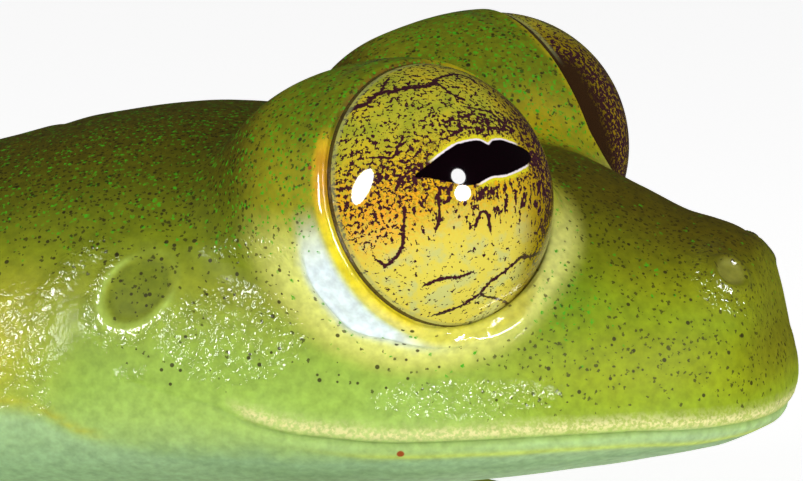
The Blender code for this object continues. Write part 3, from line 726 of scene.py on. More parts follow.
def paintSkin(skin, at):    # how strongly each tone and marking shows at each point
    points, normals = readPoints(skin), readNormals(skin)
    x, z, rim, turn, slit = at["x"], at["z"], at["rim"], at["turn"], at["slit"]
    tall = trunkHeight(points)
    overLips = z + 2.32
    atTip = np.where(overLips > 0, overLips / 1.78, overLips / 0.5)
    tall += (np.clip(atTip, -1, 1) - tall) * ramp(x, 2.8, 3.25)
    lid = 1 - ramp(at["reach"], 1.62, 1.95)
    limb = ramp(trunkDistance(points), 0.1, 0.5) * (at["reach"] > 2.3)
    # on the limbs the tone follows how far each face turns upwards: partly their own darker backs, partly
    # painted shade on the upward faces
    height = tall * (1 - limb) + (0.12 + 0.42 * normals[:, 2]) * limb
    left = points * (1, 0, 1) + np.abs(points) * (0, 1, 0)
    tips = np.min([np.linalg.norm(left - tip, axis=1) for tip in tipsOfDigits()], axis=0)
    rear = ramp(turn, -80, -60) * (1 - ramp(turn, 18, 36))
    openTop = 1 - 0.85 * ramp(at["earUp"], 0.05, 0.3)
    margin = (1 - ramp(rim, 0.12, 0.19)) * rear * lid
    edgeRun = (-14, -9, -7, -5.5, -3.71, -3.33, -2.6, -1.8, -0.8)
    throatEdge = np.interp(x, edgeRun, (-4.3, -3.7, -2.7, -1.9, -2.11, -2.31, -2.5, -2.66, -2.8))
    masks = {
        "height": height,
        "snoutShare": ramp(x, 0.2, 2.0),
        "shoulderGold": 0.8 * (1 - ramp(x, -4.4, -3.2)) * ramp(x, -5.6, -4.8)
        * hump(tall, 0.25, 0.25) * (1 - limb),
        "lid": lid,
        # the lids darker on top and paler below: partly their own colour, partly painted shade on their
        # upward faces
        "lidTop": lid * ramp(z, 0.35, 1.0),
        "lidLow": lid * (1 - ramp(z, -0.55, 0.15)),
        "medialPatch": hump(np.linalg.norm(left - (0.75, 0.87, 0.49), axis=1), 0, 0.3),
        "lidCrescent": ramp(rim, 0.13, 0.24) * (1 - ramp(at["ridge"], 0.0, 0.15)) * lid
        * ramp(turn, -90, -55) * (1 - ramp(turn, -24, 4)),
        "lidMargin": margin,
        "marginHigh": margin * ramp(turn, -12, 8),
        "marginLow": 0.75 * margin * (1 - ramp(turn, -52, -30)) * ramp(rim, 0.05, 0.14),
        "lowBand": 0.8 * (1 - ramp(at["ridge"], -0.06, 0.03)) * ramp(turn, -150, -128)
        * (1 - ramp(turn, -80, -60)) * lid,
        "topRim": (1 - ramp(rim, 0.02, 0.07)) * ramp(turn, 25, 50) * lid,
        "farStripe": (1 - ramp(rim, 0.05, 0.16)) * ramp(turn, 90, 110) * lid,
        "throatPale": 0.8 * (1 - ramp(z - throatEdge, -0.18, 0.05)) * ramp(-x, 0.6, 2.4) * (1 - limb),
        "throatEdge": 0.6 * hump(z - throatEdge, 0.02, 0.045) * ramp(-x, 2.9, 3.3) * (1 - limb),
        "earRing": hump(at["ear"], 1.15, 0.12) * openTop,
        "earDisc": 1 - ramp(at["ear"], 0.85, 1.0),
        "greenPatch": 0.8 * hump(np.linalg.norm(left - (1.5, 2.2, -0.9), axis=1), 0, 0.55) * (1 - lid),
        "nostrilDome": 1 - ramp(at["nostril"], 0.13, 0.18),
        "lipBand": hump(slit, 0.115, 0.065) * ramp(x, -1.8, -1.4),
        "lowerLip": hump(slit, -0.13, 0.035) * ramp(x, -1.2, 0),
        # painted shade: a darker green line along the crease of the mouth
        "mouthShade": 0.5 * hump(slit, 0, 0.02) * at["slitShare"] * ramp(x, -2.4, -1.2),
        "snoutTip": ramp(x, 3.15, 3.6) * ramp(tall, 0.05, 0.4),
        "digitTip": 1 - ramp(tips, 0.3, 0.6),
    }
    bare = (1 - ramp(x, -3.0, -2.75)) * (1 - ramp(tall, 0.46, 0.58)) * ramp(x, -5.2, -4.6)
    dots = 0.10 * ramp(height, 0.08, 0.2) + 0.25 * ramp(height, 0.42, 0.55)
    dots += 0.6 * ramp(height, 0.55, 0.8)
    snoutDots = 0.20 + 0.38 * ramp(height, 0.10, 0.28) + 0.4 * ramp(height, 0.7, 0.9)
    dots += (snoutDots - dots) * masks["snoutShare"]
    dots = dots * (1 - bare) * (1 - masks["earRing"]) + 0.35 * masks["earDisc"]
    dots = np.where(lid > 0.5, 0.12 + 0.5 * ramp(z, -0.2, 0.5), dots)
    plain = np.maximum.reduce([masks[k] for k in ("lidMargin", "lidCrescent", "lowBand", "nostrilDome")])
    masks["dots"] = dots * (1 - plain) * ramp(height, 0.0, 0.1)
    cheekDots = 0.42 * ramp(height, 0.05, 0.2) * (1 - bare) * (1 - masks["earRing"])
    cheekDots += 0.9 * masks["earDisc"]
    masks["largeDots"] = cheekDots * (1 - plain) * (1 - 0.6 * masks["snoutShare"])
    flecks = 0.55 * ramp(height, 0.55, 0.75) * (1 - 0.85 * ramp(x, 0.8, 1.8)) * (1 - limb)
    flecks = np.maximum(flecks, lid * (0.15 + 0.8 * ramp(z, -0.3, 0.3)))
    flecks = np.maximum(flecks, 0.7 * hump(np.linalg.norm(left - (1.55, 2.15, -0.95), axis=1), 0, 0.35))
    masks["flecks"] = flecks * (1 - plain)
    masks["grain"] = np.maximum.reduce([
        0.75 * (1 - ramp(np.hypot((x + 1.65) / 0.9, (z + 1.3) / 0.6), 0.7, 1.05)),
        1 - ramp(np.hypot((x - 0.65) / 1.0, (z + 1.95) / 0.24), 0.7, 1.1),
        0.8 * (1 - ramp(np.hypot((x + 1.5) / 0.6, (z + 0.40) / 0.16), 0.7, 1.1)),
        0.75 * (1 - ramp(at["neckFold"], 0.08, 0.2)) * ramp(-x, 2.9, 3.3),
        masks["shoulderGold"],
        0.8 * hump(np.abs(at["nostril"] - 0.36), 0, 0.12) * (at["nostrilFore"] < 0),
        hump(at["ear"], 1.45, 0.2) * (1 - ramp(at["earUp"], 0.0, 0.3)),
        0.8 * (1 - ramp(np.hypot((x + 2.7) / 0.2, (z + 1.7) / 0.08), 0.7, 1.1)),
    ]) * (1 - limb) * ramp(tall, -0.3, -0.1)
    masks["wet"] = np.maximum.reduce([
        masks["grain"], masks["lidMargin"], masks["lowBand"], hump(at["ridge"], 0, 0.05) * lid,
        hump(at["nostril"], 0.2, 0.08), hump(at["ear"], 1.15, 0.2) * (1 - ramp(at["earUp"], 0.0, 0.3)),
        0.4 * masks["digitTip"],
    ])
    for name, values in masks.items():
        addAttribute(skin, name, np.clip(values, -1, 1.1))


print("painting the skin")
paintSkin(skin, skinPlaces)


# The markings of the iris: millimetres across and up from the middle of the pupil, on the eye's face
iris = {
    "pupil": (
        (-0.70, -0.04), (-0.54, 0.05), (-0.36, 0.15), (-0.20, 0.21), (-0.03, 0.23), (0.06, 0.22),
        (0.14, 0.17), (0.21, 0.21), (0.32, 0.22), (0.49, 0.18), (0.66, 0.13), (0.72, 0.06),
        (0.66, -0.01), (0.49, -0.08), (0.33, -0.13), (0.21, -0.15), (0.11, -0.15), (0.01, -0.18),
        (-0.10, -0.22), (-0.20, -0.22), (-0.32, -0.19), (-0.47, -0.13), (-0.60, -0.08),
    ),
    "veins": (                # half width, then the line of each dark vein
        (0.036, (
            (-0.92, 0.87), (-0.80, 0.89), (-0.66, 0.97), (-0.55, 0.95), (-0.43, 0.96), (-0.28, 0.95),
            (-0.15, 0.96), (-0.06, 1.01),
        )),
        (0.024, ((-1.06, 0.81), (-0.92, 0.87))),
        (0.020, ((-0.63, 0.99), (-0.55, 1.07), (-0.47, 1.13))),
        (0.020, ((-0.08, 0.98), (-0.05, 0.87), (-0.03, 0.82), (0.06, 0.73))),
        (0.013, ((0.04, 0.64), (0.20, 0.59), (0.34, 0.55), (0.44, 0.46))),
        (0.024, ((-0.04, 1.03), (0.16, 1.08), (0.32, 1.08), (0.41, 1.03), (0.43, 0.96))),
        (0.015, (
            (-1.00, 0.25), (-0.93, 0.23), (-0.85, 0.20), (-0.77, 0.31), (-0.71, 0.39),
        )),
        (0.018, (
            (-0.83, -0.33), (-0.84, -0.41), (-0.84, -0.49), (-0.84, -0.59), (-0.85, -0.71), (-0.89, -0.78),
            (-0.95, -0.82), (-1.01, -0.77),
        )),
        (0.015, ((-0.52, -0.30), (-0.52, -0.49), (-0.55, -0.60))),
        (0.022, (
            (-0.36, -1.33), (-0.22, -1.32), (-0.11, -1.30), (-0.03, -1.26), (0.05, -1.23), (0.11, -1.16),
            (0.21, -1.10), (0.31, -1.05), (0.43, -0.98), (0.52, -0.93), (0.67, -0.91), (0.92, -0.84),
        )),
        (0.013, (
            (0.05, -1.23), (0.17, -1.25), (0.30, -1.26), (0.46, -1.27), (0.63, -1.27),
        )),
        (0.019, (
            (-0.56, -1.08), (-0.47, -1.06), (-0.36, -1.06), (-0.25, -1.07), (-0.15, -1.05),
        )),
        (0.017, (
            (-0.14, -0.63), (-0.09, -0.52), (-0.04, -0.50), (0.0, -0.54), (0.04, -0.69),
        )),
    ),
    "peppering": 0.345,       # how thick the dark specks lie, then where they lie thicker:
    "darkPatches": (          # how much, place and spread across, place and spread upwards
        (0.46, 0.20, 0.50, 0.40, 0.15), (0.25, -0.78, 0.16, 0.01, 0.11),
        (0.60, 0.80, 0.13, 0.03, 0.09), (0.14, 0.05, 0.50, -0.33, 0.16),
    ),
    "segments": 256,
    "rings": 150,
    "faceShare": 0.86,        # of the rings that lie on the ball's open face
}


def smoothChain(points, closed=False, cuts=4):    # rounds a chain of points without leaving them
    points = np.array(points, float)
    before, after = 2 * points[:1] - points[1:2], 2 * points[-1:] - points[-2:-1]
    if closed:
        before, after = points[-1:], points[:2]
    line = np.concatenate([before, points, after])
    t = np.linspace(0, 1, cuts, endpoint=False)[:, None]
    made = []
    for a, b, c, d in zip(line[:-3], line[1:-2], line[2:-1], line[3:]):
        squared, cubed = 2 * a - 5 * b + 4 * c - d, 3 * b - a - 3 * c + d
        made.append(0.5 * (2 * b + (c - a) * t + squared * t**2 + cubed * t**3))
    return np.concatenate(made + [line[-2:-1]])


def addEye(side, name):    # the ball's face as far as the lids, and its smaller hidden root
    middle, axis, radius, root = eyeMiddle(side), rimAxisOf(side), eyes["radius"], eyes["root"]
    turn = axis.to_track_quat("Z", "Y").to_euler()
    bpy.ops.mesh.primitive_uv_sphere_add(segments=iris["segments"], ring_count=iris["rings"], radius=1)
    ball = named(name)
    points = readPoints(ball)
    depth = np.arccos(np.clip(points[:, 2], -1, 1)) / math.pi    # 0 at the front, 1 at the back
    share = iris["faceShare"]
    edge = math.radians(eyes["rimAngle"] + 1.5)
    neck = math.radians(66)
    angle = edge * np.minimum(depth / share, 1)
    out, ahead = radius * np.sin(angle), radius * np.cos(angle)
    behind = (depth - share) / (1 - share)
    rootAngle = neck + (math.pi - neck) * np.clip((behind - 0.3) / 0.7, 0, 1)
    step = np.clip(behind / 0.3, 0, 1)
    out += (root * np.sin(rootAngle) - out) * step
    ahead += (root * np.cos(rootAngle) - ahead) * step
    flat = np.hypot(points[:, 0], points[:, 1])
    way = points[:, :2] / np.maximum(flat, 1e-9)[:, None]
    writePoints(ball, np.column_stack([way * np.where(flat > 1e-6, out, 0)[:, None], ahead]))
    ball.rotation_euler = turn
    ball.location = middle
    placed(ball)
    markIris(ball, side, np.degrees(np.where(behind > 0, edge, angle)) - eyes["rimAngle"])
    return ball


def markIris(ball, side, rimTurn):
    outward = readPoints(ball) - np.array(eyeMiddle(side))
    forwards = sided(eyes["pupilAxis"], side).normalized()
    across = Vector((forwards.y * side, -forwards.x * side, 0)).normalized()
    upwards = forwards.cross(across) * -side
    frameOfIris = np.array((across, upwards, forwards))
    place = outward @ frameOfIris.T
    h, v, n = place.T
    pupil = smoothChain(iris["pupil"], closed=True)
    flat = place * (1, 1, 0)
    rounded = np.column_stack([pupil, np.zeros(len(pupil))])
    edge = np.abs(chainDistance(flat, rounded, np.array((0, 0, 1))))
    inside = np.zeros(len(h), bool)
    for (h0, v0), (h1, v1) in zip(pupil[:-1], pupil[1:]):
        crosses = (v0 > v) != (v1 > v)
        inside ^= crosses & (h < h0 + (v - v0) * (h1 - h0) / np.where(crosses, v1 - v0, 1))
    addAttribute(ball, "pupilEdge", np.where(n > 0, np.where(inside, -edge, edge), 1))
    nearest = np.full(len(h), 99.0)
    for halfWidth, line in iris["veins"]:
        line = smoothChain(line)
        deep = np.sqrt(np.maximum(eyes["radius"] ** 2 - (line**2).sum(1), 0.01))
        found = chainDistance(place, np.column_stack([line, deep]), place) / halfWidth
        nearest = np.where(np.abs(found) < np.abs(nearest), found, nearest)
    addAttribute(ball, "veinAcross", nearest)
    addAttribute(ball, "veinNear", np.abs(nearest))
    addAttribute(ball, "irisPlace", place)
    addAttribute(ball, "rimTurn", rimTurn)
    specks = iris["peppering"] + 0.18 * hump(v, -0.02, 0.30) * (1 - ramp(h, 0.5, 0.9))
    specks += 0.42 * ramp(h, 0.5, 1.1) - 0.24 * ramp(-v, 0.5, 0.75) * (1 - ramp(h, 0.6, 0.9))
    for gain, across, wide, up, tall in iris["darkPatches"]:
        specks += gain * hump(h, across, wide) * hump(v, up, tall)
    onTop, onRight = v > 0.06 - 0.02 * h, (v < 0) & (h > -0.1)
    marks = {
        "specks": specks,
        "streaks": ramp(-v, 0.12, 0.25) * (1 - ramp(-v, 0.55, 0.85))
        * (1 - ramp(np.abs(h - 0.1), 0.75, 1.0)),
        "pupilRim": onTop * ramp(h, -0.60, -0.45) * (1 - ramp(h, 0.50, 0.57))
        + onRight * ramp(h, -0.12, 0.0) * (1 - ramp(h, 0.60, 0.68)),
        "grainTone": hump(h, -0.55, 0.5) * hump(v, -0.02, 0.34),
        "goldTone": hump(v, -0.16, 0.40) * (1 - 0.8 * ramp(h, 0.2, 0.9)),
        "emberTone": hump(h, -1.0, 0.35) * hump(v, -0.35, 0.3),
        "rightTone": ramp(h, 0.3, 0.8),
        "lowTone": ramp(-v, 0.25, 0.7) * (1 - 0.7 * ramp(h, 0.4, 0.9)),
        "darkEdge": ramp(rimTurn, -20, -6) * ramp(h, 0.85, 1.1),
    }
    for name, values in marks.items():
        addAttribute(ball, name, values)


print("shaping the eyes")
eyeballs = [addEye(1, "eyeballLeft"), addEye(-1, "eyeballRight")]


def toPlace(piece):    # from millimetres at the eyes to metres in the frame
    piece.data.transform(Matrix.Translation(eyePlace) @ Matrix.Scale(millimetre, 4))
    piece.data.shade_smooth()
    piece.data.update()
    return piece


def hexColour(code):    # sRGB hex to the linear colour that the shaders take
    parts = [int(code[k:k + 2], 16) / 255 for k in (1, 3, 5)]
    return [p / 12.92 if p <= 0.04045 else ((p + 0.055) / 1.055) ** 2.4 for p in parts] + [1]


def newMaterial(name):
    made = bpy.data.materials.new(name)
    made.use_nodes = True
    return made, made.node_tree, made.node_tree.nodes["Principled BSDF"]


def addNode(tree, kind, inputs, output=0, **settings):    # inputs are values or links, by socket
    made = tree.nodes.new("ShaderNode" + kind)
    for name, value in settings.items():
        setattr(made, name, value)
    for socket, value in inputs.items():
        if isinstance(value, bpy.types.NodeSocket):
            tree.links.new(value, made.inputs[socket])
        else:
            made.inputs[socket].default_value = value
    return made.outputs[output]


def setStops(socket, stops):    # fills a colour ramp
    elements = socket.node.color_ramp.elements
    elements[0].position, elements[1].position = stops[0][0], stops[-1][0]
    elements[0].color, elements[1].color = hexColour(stops[0][1]), hexColour(stops[-1][1])
    for at, code in stops[1:-1]:
        elements.new(at).color = hexColour(code)


def millimetresOf(tree):
    metres = addNode(tree, "TexCoord", {}, "Object")
    return addNode(tree, "VectorMath", {0: metres, "Scale": 1 / millimetre}, operation="SCALE")


def layTones(tree, tone, layers):    # each tone over those before it, where its mask shows
    for mask, code in layers:
        tone = addNode(tree, "Mix", {0: mask, 6: tone, 7: hexColour(code)}, 2, data_type="RGBA")
    return tone


def addSpots(tree, place, cell, reach, share):    # round spots, one or none in each cell, of mixed sizes
    gap = addNode(tree, "TexVoronoi", {"Vector": place, "Scale": 1 / cell}, "Distance")
    draw = addNode(tree, "SeparateColor", {"Color": gap.node.outputs["Color"]}, "Red")
    size = addNode(tree, "MapRange", {"Value": draw.node.outputs["Green"], "To Min": 0.65, "To Max": 1.3})
    gap = addNode(tree, "Math", {0: gap, 1: size}, operation="DIVIDE")
    spot = addNode(
        tree, "MapRange", {"Value": gap, "From Min": reach * 1.25, "From Max": reach * 0.8},
        interpolation_type="SMOOTHSTEP",
    )
    kept = addNode(tree, "Math", {0: draw, 1: share}, operation="LESS_THAN")
    return addNode(tree, "Math", {0: spot, 1: kept}, operation="MULTIPLY")


# Living skin of a glass frog: thin, wet and slightly see-through, lime green over pale tissue, peppered
# with dark pigment cells and bright green flecks; smooth and dull but for patches of glistening granules
skinFinish = {
    "rearToneAndShade": (            # trunk height from -1 to 1.1, on 0 to 1; darker towards the back's ridge, partly the frog's own olive and partly painted shade of the upward faces
        (0.00, "#b4caa4"), (0.214, "#8baa7a"), (0.286, "#94b586"), (0.371, "#9fbc70"), (0.448, "#a2c062"),
        (0.524, "#97b64c"), (0.581, "#90ac40"), (0.629, "#8fa438"), (0.695, "#879020"), (0.762, "#75820c"),
        (0.81, "#677106"), (0.857, "#5a5e02"), (0.914, "#545001"), (1.0, "#584e00"),
    ),
    "snoutToneAndShade": (
        (0.00, "#b4caa4"), (0.214, "#8baa7a"), (0.286, "#9ab684"), (0.371, "#a4c27e"), (0.448, "#98b446"),
        (0.505, "#8ea618"), (0.586, "#909f04"), (0.667, "#8a9800"), (0.738, "#86990a"), (0.8, "#858e04"),
        (0.857, "#727600"), (0.929, "#5e5500"), (1.0, "#564c00"),
    ),
    "layers": {               # tones laid over those where their own mask shows
        "shoulderGold": "#beb41a",
        "throatPale": "#a4c494",
        "throatEdge": "#b9b22a",
        "lid": "#949209",
        # lid tones darker on top: partly their own colour, partly painted shade
        "lidTop": "#6c7504",
        "lidLow": "#dcde78",
        "medialPatch": "#a39400",
        "lidCrescent": "#dce9ec",
        "lidMargin": "#e6d220",
        "marginHigh": "#cc9710",
        "marginLow": "#f0e892",
        "lowBand": "#cfc83c",
        "topRim": "#7a5c06",
        "farStripe": "#a89800",
        "earRing": "#a4ba4e",
        "earDisc": "#6e7a10",
        "greenPatch": "#6c9000",
        "nostrilDome": "#83832e",
        "snoutTip": "#777802",
        # painted shade in the crease of the mouth
        "mouthShade": "#7f9a50",
        "lowerLip": "#b5c860",
        "digitTip": "#bcc25a",
    },
    "lipBand": "#dfd998",
    "fleck": "#45a80f",
    "dot": "#2c2306",
    "rust": "#9a4a1c",
    "dotCell": 0.055,         # millimetres between dark pigment cells where they are densest
    "dotReach": 0.30,         # radius of a spot as a share of its cell
    "largeCell": 0.10,        # and between the larger ones of the cheek
    "largeReach": 0.19,
    "fleckCell": 0.055,
    "fleckReach": 0.34,
    "rustCell": 0.7,
    "rustReach": 0.05,
    "rustShare": 0.5,
    "patches": 2.0,           # of cloudy colour, mottling and grit, in each millimetre
    "mottles": 9.0,
    "grits": 24.0,
    "raggedBy": 0.07,         # millimetres that grit moves the spots' edges
    "grainSize": 0.075,       # drawn coarser than life, where a granule is about 0.05
    "grainHeight": 0.062,
}


def skinMaterial():
    made, tree, shader = newMaterial("wetFrogSkin")
    place = millimetresOf(tree)
    scales = [skinFinish[name] for name in ("patches", "mottles", "grits")]
    cloudy, mottle, grit = (
        addNode(tree, "TexNoise", {"Vector": place, "Scale": scale, "Detail": detail, "Roughness": 0.6})
        for scale, detail in zip(scales, (3, 2, 2))
    )
    height = addNode(tree, "Attribute", {}, "Fac", attribute_name="height")
    height = addNode(tree, "Math", {0: cloudy, 1: 0.14, 2: height}, operation="MULTIPLY_ADD")
    share = addNode(tree, "MapRange", {"Value": height, "From Min": -0.93, "From Max": 1.17})
    # tones by height: partly the skin's own colour, partly painted shade darkening the top
    rear, front = (addNode(tree, "ValToRGB", {"Fac": share}, "Color") for _ in range(2))
    setStops(rear, skinFinish["rearToneAndShade"])
    setStops(front, skinFinish["snoutToneAndShade"])
    names = ("snoutShare", "lipBand", "flecks", "dots", "largeDots", "wet", "grain", *skinFinish["layers"])
    masks = {name: addNode(tree, "Attribute", {}, "Fac", attribute_name=name) for name in names}
    tone = addNode(tree, "Mix", {0: masks["snoutShare"], 6: rear, 7: front}, 2, data_type="RGBA")
    tone = layTones(tree, tone, [(masks[name], code) for name, code in skinFinish["layers"].items()])
    shade = addNode(
        tree, "MapRange", {"Value": mottle, "From Min": 0.3, "From Max": 0.7, "To Min": 0.84, "To Max": 1.16}
    )
    tone = addNode(tree, "VectorMath", {0: tone, "Scale": shade}, operation="SCALE")
    gritty = addNode(tree, "MapRange", {"Value": grit, "From Min": 0.42, "From Max": 0.58, "To Min": 0.35})
    lip = addNode(tree, "Math", {0: masks["lipBand"], 1: gritty}, operation="MULTIPLY")
    pushed, by = grit.node.outputs["Color"], (skinFinish["raggedBy"],) * 3
    ragged = addNode(tree, "VectorMath", {0: pushed, 1: by, 2: place}, operation="MULTIPLY_ADD")
    flecks = addSpots(tree, ragged, skinFinish["fleckCell"], skinFinish["fleckReach"], masks["flecks"])
    flecks = addNode(tree, "Math", {0: flecks, 1: gritty}, operation="MULTIPLY")
    moved = addNode(tree, "VectorMath", {0: ragged, 1: (0.3, 1.7, 0.9)}, operation="ADD")
    dots = addSpots(tree, moved, skinFinish["dotCell"], skinFinish["dotReach"], masks["dots"])
    dots = addNode(tree, "Math", {0: dots, 1: 0.75}, operation="MULTIPLY")
    large = addSpots(tree, place, skinFinish["largeCell"], skinFinish["largeReach"], masks["largeDots"])
    large = addNode(tree, "Math", {0: large, 1: 0.88}, operation="MULTIPLY")
    rust = addSpots(tree, place, skinFinish["rustCell"], skinFinish["rustReach"], skinFinish["rustShare"])
    tone = layTones(tree, tone, (
        (lip, skinFinish["lipBand"]), (flecks, skinFinish["fleck"]), (dots, skinFinish["dot"]),
        (large, skinFinish["dot"]), (rust, skinFinish["rust"]),
    ))
    tree.links.new(tone, shader.inputs["Base Color"])
    tree.links.new(masks["wet"], shader.inputs["Coat Weight"])
    grain = addNode(tree, "MapRange", {"Value": masks["grain"], "To Min": 0.03, "To Max": 1.0})
    size, height = skinFinish["grainSize"], skinFinish["grainHeight"] * millimetre
    bumps = addNode(
        tree, "TexNoise",
        {"Vector": place, "Scale": 1 / size, "Detail": 1.5, "Roughness": 0.5, "Distortion": 0.7},
    )
    bumps = addNode(tree, "Math", {0: bumps, 1: grain}, operation="MULTIPLY")
    for socket, strength in (("Normal", 0.4), ("Coat Normal", 1)):
        raised = addNode(tree, "Bump", {"Strength": strength, "Distance": height, "Height": bumps})
        tree.links.new(raised, shader.inputs[socket])
    shader.inputs["Roughness"].default_value = 0.55
    shader.inputs["Specular IOR Level"].default_value = 0.12
    shader.inputs["Coat Roughness"].default_value = 0.06
    shader.inputs["Coat IOR"].default_value = 1.6
    shader.inputs["Subsurface Weight"].default_value = 0.12
    shader.inputs["Subsurface Radius"].default_value = (1.0, 0.7, 0.25)
    shader.inputs["Subsurface Scale"].default_value = 0.25 * millimetre
    return made


# A living eye: an iris peppered with dark pigment behind a clear, wet cornea that mirrors the lamps
eyeFinish = {
    "tones": ((0.35, "#9da32c"), (0.5, "#b4b030"), (0.65, "#c6b428")),
    "low": "#d6c74e",
    "lowCloud": "#bdc078",
    "right": "#8c7808",
    "gold": "#e2a818",
    "ember": "#e6a02c",
    "brown": "#5c3d0a",
    "speck": "#3a1a22",
    "fringe": "#d6cc22",
    "rimOfPupil": "#eadfe6",
    "pupil": "#070003",
    # a grey-green sliver along the wet tear line at the lids' edge, partly painted reflection of the white
    # room
    "sliverAndSheen": "#9aa06a",
    "rim": "#33200e",
    "speckSize": 0.042,       # millimetres
    "scales": (4.0, 26.0, 42.0, 17.0),    # clouds, fine flecks, grit and streaks in each millimetre
    "rimLineAndShade": (-1.5, -1.0),  # where the dark line round the ball begins, in degrees from the lids' edge; partly the iris's own dark rim, partly painted shade where the lids meet the ball
}


def eyeMaterial():
    made, tree, shader = newMaterial("corneaOverIris")
    place = addNode(tree, "Attribute", {}, "Vector", attribute_name="irisPlace")
    names = ("pupilEdge", "pupilRim", "veinAcross", "veinNear", "rimTurn", "specks", "streaks", "grainTone")
    names += ("goldTone", "emberTone", "rightTone", "lowTone", "darkEdge")
    at = {name: addNode(tree, "Attribute", {}, "Fac", attribute_name=name) for name in names}
    drawn = addNode(tree, "VectorMath", {0: place, 1: (1, 0.3, 1)}, operation="MULTIPLY")
    cloudy, fine, grit, streaks = (
        addNode(tree, "TexNoise", {"Vector": where, "Scale": scale, "Detail": detail, "Roughness": 0.6})
        for where, scale, detail in zip((place, place, place, drawn), eyeFinish["scales"], (3, 2, 1, 2))
    )
    size = eyeFinish["speckSize"]
    blots = addNode(
        tree, "TexNoise",
        {"Vector": place, "Scale": 1 / size, "Detail": 2, "Roughness": 0.6, "Distortion": 0.2},
    )
    grains = addNode(tree, "MapRange", {"Value": fine, "From Min": 0.42, "From Max": 0.58, "To Min": 0.3})
    gold = addNode(tree, "Math", {0: at["goldTone"], 1: grains}, operation="MULTIPLY")
    ember = addNode(tree, "Math", {0: at["emberTone"], 1: grains}, operation="MULTIPLY")
    brown = addNode(tree, "MapRange", {"Value": grit, "From Min": 0.52, "From Max": 0.44, "To Max": 0.8})
    brown = addNode(tree, "Math", {0: brown, 1: at["grainTone"]}, operation="MULTIPLY")
    cloud = addNode(tree, "MapRange", {"Value": cloudy, "From Min": 0.48, "From Max": 0.6, "To Max": 0.8})
    cloud = addNode(tree, "Math", {0: cloud, 1: at["lowTone"]}, operation="MULTIPLY")
    drift = addNode(tree, "Math", {0: at["streaks"], 1: 0.65}, operation="MULTIPLY")
    blots = addNode(tree, "Mix", {0: drift, 2: blots, 3: streaks})
    dense = addNode(tree, "Math", {0: at["specks"], 1: 0.27, 2: blots}, operation="MULTIPLY_ADD")
    ragged = addNode(
        tree, "MapRange", {"Value": blots, "From Min": 0.65, "From Max": 0.35, "To Min": -0.6, "To Max": 0.6}
    )
    across = addNode(tree, "Math", {0: at["veinAcross"]}, operation="ABSOLUTE")
    across = addNode(tree, "Math", {0: across, 1: ragged}, operation="ADD")
    near = addNode(tree, "Math", {0: at["veinNear"], 1: 3.2}, operation="LESS_THAN")
    edge = addNode(tree, "Math", {0: fine, 1: 0.02, 2: at["pupilEdge"]}, operation="MULTIPLY_ADD")
    torn = addNode(tree, "Math", {0: grit, 1: 0.11, 2: at["pupilEdge"]}, operation="MULTIPLY_ADD")
    low, high = eyeFinish["rimLineAndShade"]
    steps = {                 # what each mask is read from, where it starts and where it is full
        "speck": (dense, 0.635, 0.665),
        "vein": (across, 1.4, 0.8),
        "fringe": (torn, 0.125, 0.105),
        "line": (edge, 0.042, 0.033),
        "hole": (edge, 0.022, 0.012),
        # the tear line's sliver, partly painted reflection
        "sliverAndSheen": (at["rimTurn"], -4.0, -2.5),
        # the dark line at the lids' edge: partly the iris's rim, partly painted shade where the lids meet
        # the ball
        "ring": (at["rimTurn"], low, high),
    }
    masks = {}
    for name, (value, start, full) in steps.items():
        span = {"Value": value, "From Min": start, "From Max": full}
        masks[name] = addNode(tree, "MapRange", span, interpolation_type="SMOOTHSTEP")
    shares = {"vein": near, "fringe": at["pupilRim"], "line": at["pupilRim"], "sliverAndSheen": 0.5, "ring": 0.9}
    for name, share in shares.items():
        masks[name] = addNode(tree, "Math", {0: masks[name], 1: share}, operation="MULTIPLY")
    tone = addNode(tree, "ValToRGB", {"Fac": cloudy}, "Color")
    setStops(tone, eyeFinish["tones"])
    layers = (
        (at["lowTone"], "low"), (cloud, "lowCloud"), (at["rightTone"], "right"), (gold, "gold"),
        (ember, "ember"), (brown, "brown"), (masks["speck"], "speck"), (masks["vein"], "speck"),
        (masks["fringe"], "fringe"), (masks["line"], "rimOfPupil"), (masks["hole"], "pupil"),
        (masks["sliverAndSheen"], "sliverAndSheen"), (masks["ring"], "rim"), (at["darkEdge"], "rim"),
    )
    tone = layTones(tree, tone, [(mask, eyeFinish[name]) for mask, name in layers])
    tree.links.new(tone, shader.inputs["Base Color"])
    shader.inputs["Roughness"].default_value = 0.6
    shader.inputs["Specular IOR Level"].default_value = 0.0
    shader.inputs["Coat Weight"].default_value = 1.0
    shader.inputs["Coat Roughness"].default_value = 0.045
    shader.inputs["Coat IOR"].default_value = 1.5
    return made


print("dressing the pieces")
skinFinished, eyeFinished = skinMaterial(), eyeMaterial()
for piece, finished, slotName, nodes in (
    (skin, skinFinished, "skin", [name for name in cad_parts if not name.startswith("eye_")]),
    (eyeballs[0], eyeFinished, "eye", ["eye_left"]),
    (eyeballs[1], eyeFinished, "eye", ["eye_right"]),
):
    toPlace(piece)
    piece.data.materials.clear()
    piece.data.materials.append(finished)
    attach(piece, "root")
    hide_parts(*nodes)

# Camera: level with the frog's shoulder, a long lens, the head filling the frame
camera = {
    "azimuth": 11.9,
    "elevation": 8.6,
    "distance": 80.0,
    "aim": (0, -2.2, 0),
    "shiftRight": -0.1196,    # how far the near eye sits from the frame's middle
    "shiftUp": -0.390,
    "frame": (803, 481),
    "pixel": 0.0104,          # millimetres a pixel covers at the near eye
}


